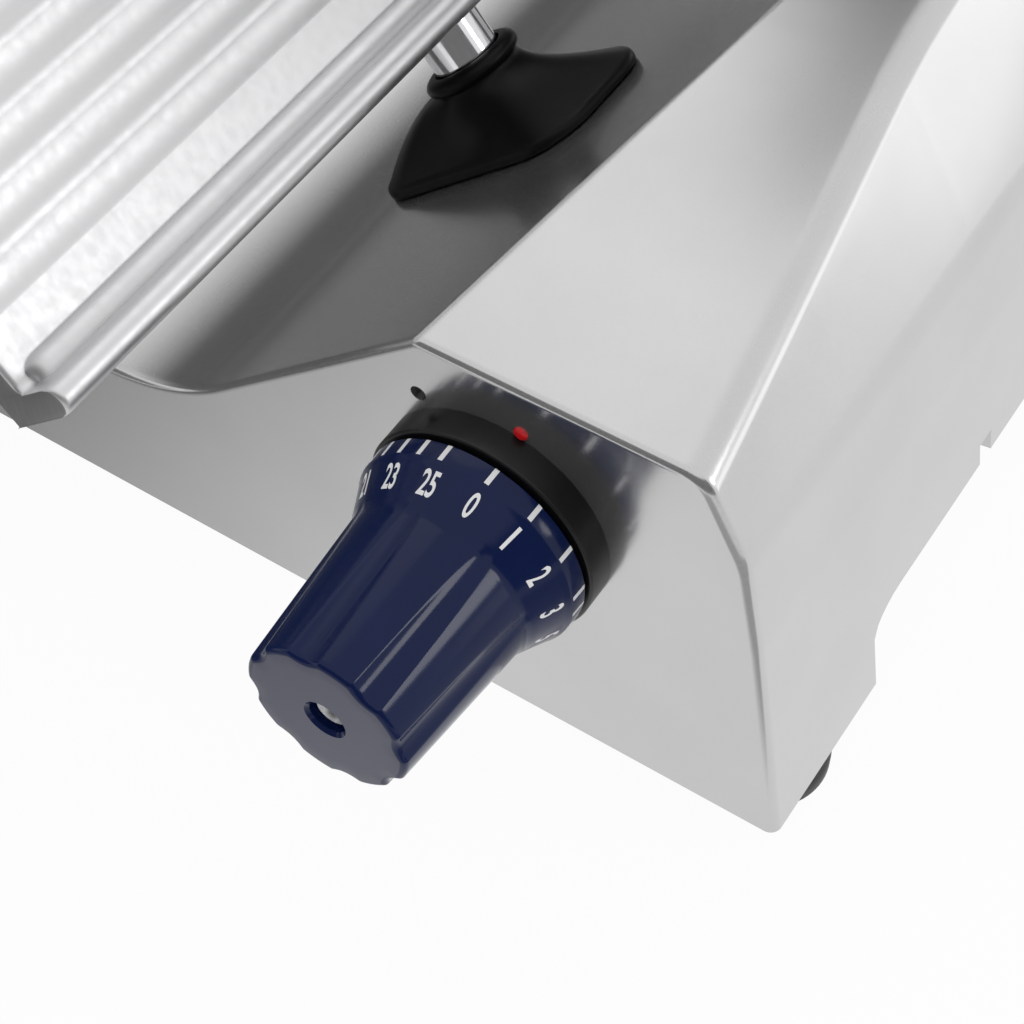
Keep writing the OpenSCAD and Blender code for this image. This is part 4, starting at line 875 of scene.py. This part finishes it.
def boot_reach(angle):
    """Distance from the middle of the boot's foot to its outline, a rectangle with round corners."""
    c, s = abs(math.cos(angle)), abs(math.sin(angle))
    a, b, r = BOOT_L / 2, BOOT_B / 2, BOOT_CORNER_R
    if a * s <= (b - r) * c:
        return a / c
    if b * c <= (a - r) * s:
        return b / s
    near = (a - r) * c + (b - r) * s
    return near + math.sqrt(near ** 2 - (a - r) ** 2 - (b - r) ** 2 + r ** 2)


def boot_row(t, grow, height, count=144):
    """One ring of the boot: t goes from its foot to its neck, full at the back and hollow ahead."""
    row = []
    full, hollow = BOOT_BENDS
    for i in range(count):
        angle = 2 * math.pi * i / count
        bend = full * (hollow / full) ** ((1 + math.cos(angle)) / 2)
        share = (1 - t) ** bend
        radius = BOOT_NECK_R + (boot_reach(angle) - BOOT_NECK_R) * share + grow
        row.append(tilted(POST_U - BOOT_SHIFT * share + radius * math.cos(angle),
                          POST_Y + radius * math.sin(angle), BOOT_SEAT + height))
    return row


def boot():
    """The boot as one closed skin: rim, outside, bead at the neck, bore and inside."""
    grow, low = BOOT_RIM[-1]
    top, bore = BOOT_H - NECK_BEAD, BOOT_BORE_R - BOOT_NECK_R
    rows = [boot_row(0, *step) for step in BOOT_RIM]
    for t in [k / 24 for k in range(1, 25)]:
        rows.append(boot_row(t, grow * (1 - t), low + (top - low) * t))
    rows += [boot_row(1, out, BOOT_H + up) for out, up in BOOT_BEAD]
    rows += [boot_row(1, bore + 0.2, BOOT_H), boot_row(1, bore, BOOT_H - 0.4), boot_row(1, bore, top)]
    for t in [k / 12 for k in range(1, 13)]:
        rows.append(boot_row(1 - t, grow * t - BOOT_WALL, (top - NECK_T) * (1 - t)))
    rows.append(rows[0])
    bm = bmesh.new()
    rows_into(bm, rows, True)
    obj = piece("gauge_bellows", bm, None, BOOT, sharp=60)
    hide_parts("gauge_boot")
    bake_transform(obj)


# The rubber feet

FOOT_R, FOOT_TOP_R, FOOT_HEAD_R, FOOT_RECESS, FOOT_BORE_R = 16.0, 13.0, 6.6, 3.8, 3.2
# Radius of the solids' feet, and the shift from their places: outwards, and in from the front and back
FOOT_NODE_R, FOOT_OUT, FOOT_IN = 14.0, 1.2, 2.0


def feet():
    """Four bell shaped feet with a recess for each screw's head."""
    low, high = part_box("rubber_feet")
    top = (high.z - low.z) / MM
    profile = [
        (FOOT_BORE_R, top), (FOOT_TOP_R, top), (FOOT_TOP_R + 0.6, top - 1.0), (FOOT_R - 1.2, top - 2.6),
        (FOOT_R - 0.3, top - 4.2), (FOOT_R, 4.6), (FOOT_R, 1.4), (FOOT_R - 0.4, 0.5), (FOOT_R - 1.2, 0.0),
        (FOOT_HEAD_R + 2.4, 0.0), (FOOT_HEAD_R + 1.6, 0.5), (FOOT_HEAD_R, 0.8),
        (FOOT_HEAD_R, FOOT_RECESS), (FOOT_BORE_R, FOOT_RECESS), (FOOT_BORE_R, top)]
    bm = bmesh.new()
    side, end = (FOOT_NODE_R - FOOT_OUT) * MM, (FOOT_NODE_R + FOOT_IN) * MM
    for x in (low.x + side, high.x - side):
        for y in (low.y + end, high.y - end):
            middle = Vector((x, y, low.z))
            revolved(bm, profile, lambda a, b, h: middle + Vector((a, b, h)) * MM, 72)
    obj = piece("bell_feet", bm, "base", RUBBER, sharp=45)
    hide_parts("rubber_feet")


# CAD nodes that stay: eased edges and their finish

# Width of an eased edge, the turn from which an edge is eased, and how near two points are one
EASE, EASE_FROM, WELD = 0.5 * MM, math.radians(38), 2e-6
REPLACED = {"base_casting", "rubber_feet", "thickness_knob", "knob_screw", "dial_bezel", "index_dot",
            "gauge_plate", "gauge_boot"}


def dress(name, slot):
    """Gives a node its slot's finish, smooth faces and eased edges."""
    node = NODES[name]
    node.data.materials.clear()
    node.data.materials.append(BY_SLOT[slot])
    old = node.data.attributes.get("custom_normal")
    if old is not None:
        node.data.attributes.remove(old)
    finish_faces(node, sharp=32)
    weld = node.modifiers.new("weld", "WELD")
    weld.merge_threshold = WELD
    ease = node.modifiers.new("ease", "BEVEL")
    ease.width, ease.segments, ease.limit_method, ease.angle_limit = EASE, 2, "ANGLE", EASE_FROM
    even = node.modifiers.new("even", "WEIGHTED_NORMAL")
    even.keep_sharp = True


# Stage, light and camera, in metres

# Half the floor's width, its grey, its share of plain white, and the light of the room
FLOOR_HALF, FLOOR_GREY, FLOOR_WHITE, ROOM_LIGHT = 6.0, 0.8, 0.955, 0.8
# The shade cards: their tone, their height over the floor, and the left one's floor, bend and top
CARD_DARK, CARD_UP, LEFT_FROM, LEFT_TO, LEFT_BEND, LEFT_TOP = 0.14, 0.002, 0.06, -0.54, 0.3, 1.05
# The camera: degrees round from the front and up, the lens in millimetres and the place from CORNER
AZIMUTH, ELEVATION, LENS, CAMERA_AT = 33, 52.7, 80.86, (353.1, -251.5, 465.3)


def seen_rays(nodes, links):
    """One for the rays that see the background: straight, in a gloss or through something clear."""
    path = nodes.new("ShaderNodeLightPath")
    last = path.outputs["Is Camera Ray"]
    for ray in ("Is Glossy Ray", "Is Transmission Ray"):
        either = nodes.new("ShaderNodeMath")
        either.operation = "MAXIMUM"
        links.new(last, either.inputs[0])
        links.new(path.outputs[ray], either.inputs[1])
        last = either.outputs[0]
    return last


def floor():
    """A pale floor that takes faint shadows and is otherwise as white as the room."""
    bm = bmesh.new()
    steps = (-FLOOR_HALF, 0, FLOOR_HALF)
    rows_into(bm, [[Vector((x, y, 0)) for x in steps] for y in steps], False)
    obj = new_object("studio_floor", bm)
    material = bpy.data.materials.new("studio_floor_pale")
    material.use_nodes = True
    nodes, links = material.node_tree.nodes, material.node_tree.links
    nodes.clear()
    out = nodes.new("ShaderNodeOutputMaterial")
    mix = nodes.new("ShaderNodeMixShader")
    matt = nodes.new("ShaderNodeBsdfDiffuse")
    matt.inputs["Color"].default_value = (FLOOR_GREY, FLOOR_GREY, FLOOR_GREY, 1)
    white = nodes.new("ShaderNodeEmission")
    white.inputs["Strength"].default_value = 1.0
    share = nodes.new("ShaderNodeMath")
    share.operation = "MULTIPLY"
    share.inputs[1].default_value = FLOOR_WHITE
    links.new(seen_rays(nodes, links), share.inputs[0])
    links.new(share.outputs[0], mix.inputs["Fac"])
    links.new(matt.outputs[0], mix.inputs[1])
    links.new(white.outputs[0], mix.inputs[2])
    links.new(mix.outputs[0], out.inputs["Surface"])
    obj.data.materials.append(material)


def world():
    """A room that is white to look at and lights things a little less than that."""
    room = bpy.data.worlds.new("studio")
    bpy.context.scene.world = room
    room.use_nodes = True
    nodes, links = room.node_tree.nodes, room.node_tree.links
    back = nodes["Background"]
    back.inputs["Color"].default_value = (1, 1, 1, 1)
    level = nodes.new("ShaderNodeMapRange")
    level.inputs["To Min"].default_value = ROOM_LIGHT
    level.inputs["To Max"].default_value = 1.0
    links.new(seen_rays(nodes, links), level.inputs["Value"])
    links.new(level.outputs[0], back.inputs["Strength"])


def shade_card(name, rows, fades, share=1.0):
    """A dark card that only gloss shows. A fade has an axis, where it starts and where it is full."""
    bm = bmesh.new()
    rows_into(bm, [[Vector(p) for p in row] for row in rows], False)
    obj = new_object(name, bm)
    obj.visible_camera = obj.visible_diffuse = obj.visible_transmission = obj.visible_shadow = False
    paint = Paint(name + "_matt")
    parts = paint.add("ShaderNodeSeparateXYZ")
    paint.join(paint.place, parts.inputs[0])
    last = None
    for axis, start, full in fades:
        fade = paint.between(parts.outputs[axis], 0, share if last is None else 1, start, full)
        if last is not None:
            both = paint.add("ShaderNodeMath", operation="MULTIPLY")
            paint.join(last, both.inputs[0])
            paint.join(fade, both.inputs[1])
            fade = both.outputs[0]
        last = fade
    paint.join(last, paint.shader.inputs["Alpha"])
    paint.set(Base_Color=(CARD_DARK, CARD_DARK, CARD_DARK, 1), Roughness=1.0, Specular_IOR_Level=0.0)
    obj.data.materials.append(paint.material)


def cards():
    """Shade at the machine's left, ahead of its front right corner and before its front."""
    left = [(LEFT_FROM + (LEFT_TO - LEFT_FROM) * k / 10, CARD_UP) for k in range(11)]
    for a in map(math.radians, range(10, 91, 10)):
        left.append((LEFT_TO - LEFT_BEND * math.sin(a), CARD_UP + LEFT_BEND * (1 - math.cos(a))))
    left += [(LEFT_TO - LEFT_BEND, z) for z in (0.5, LEFT_TOP)]
    shade_card("left_card", [[(x, y, z) for y in (-0.5, 0.2, 0.9)] for x, z in left],
               (("X", LEFT_FROM, -0.16), ("Z", 0.72, 0.28)))
    shade_card("edge_card", [[(x, y, CARD_UP) for x in (0.165, 0.5)] for y in (-0.6, -0.212)],
               (("X", 0.165, 0.205),), share=0.62)
    before = ((-1.1, -1.0), (0.6, -1.0), (1.05, -0.7), (1.25, -0.25))
    shade_card("front_card", [[(x, y, z) for x, y in before] for z in (0.03, 1.3)],
               (("Z", 1.3, 1.0),), share=0.9)


def lamp(name, place, target, size, watts):
    """A soft lamp: a disc, or a panel where size has a width and a height."""
    data = bpy.data.lights.new(name, "AREA")
    data.energy = watts
    if isinstance(size, tuple):
        data.shape = "RECTANGLE"
        data.size, data.size_y = size
    else:
        data.shape, data.size = "DISK", size
    obj = bpy.data.objects.new(name, data)
    bpy.context.scene.collection.objects.link(obj)
    obj.location = place
    obj.rotation_euler = (Vector(target) - Vector(place)).to_track_quat("-Z", "Y").to_euler()


def camera():
    """The photo's camera, as fitted to points measured in it."""
    data = bpy.data.cameras.new("camera")
    data.sensor_width, data.lens = 36.0, LENS
    data.clip_start, data.clip_end = 0.02, 40.0
    obj = bpy.data.objects.new("camera", data)
    bpy.context.scene.collection.objects.link(obj)
    azimuth, elevation = math.radians(AZIMUTH), math.radians(ELEVATION)
    level = math.cos(elevation)
    back = Vector((math.sin(azimuth) * level, -math.cos(azimuth) * level, math.sin(elevation)))
    obj.location = at(*CAMERA_AT)
    obj.rotation_euler = (-back).to_track_quat("-Z", "Y").to_euler()
    bpy.context.scene.camera = obj


base_shell()
pedestal()
knob()
knob_screw()
dial_marks()
bezel()
gauge_plate()
boot()
feet()
for part in frame["record"]["subparts"]:
    if part["node"] not in REPLACED:
        dress(part["node"], part["material_slot"])

floor()
world()
cards()
lamp("right_lamp", place=(1.1, 0.62, 0.17), target=(0, 0, 0.15), size=(0.9, 0.3), watts=0.6)
lamp("key_lamp", place=(1.94, 0.52, 0.99), target=(0, 0, 0.1), size=0.6, watts=5.6)
lamp("top_lamp", place=(-0.7, 1.1, 1.75), target=(0, 0, 0.1), size=1.7, watts=3.4)
camera()
bpy.context.scene.view_settings.view_transform = "Standard"
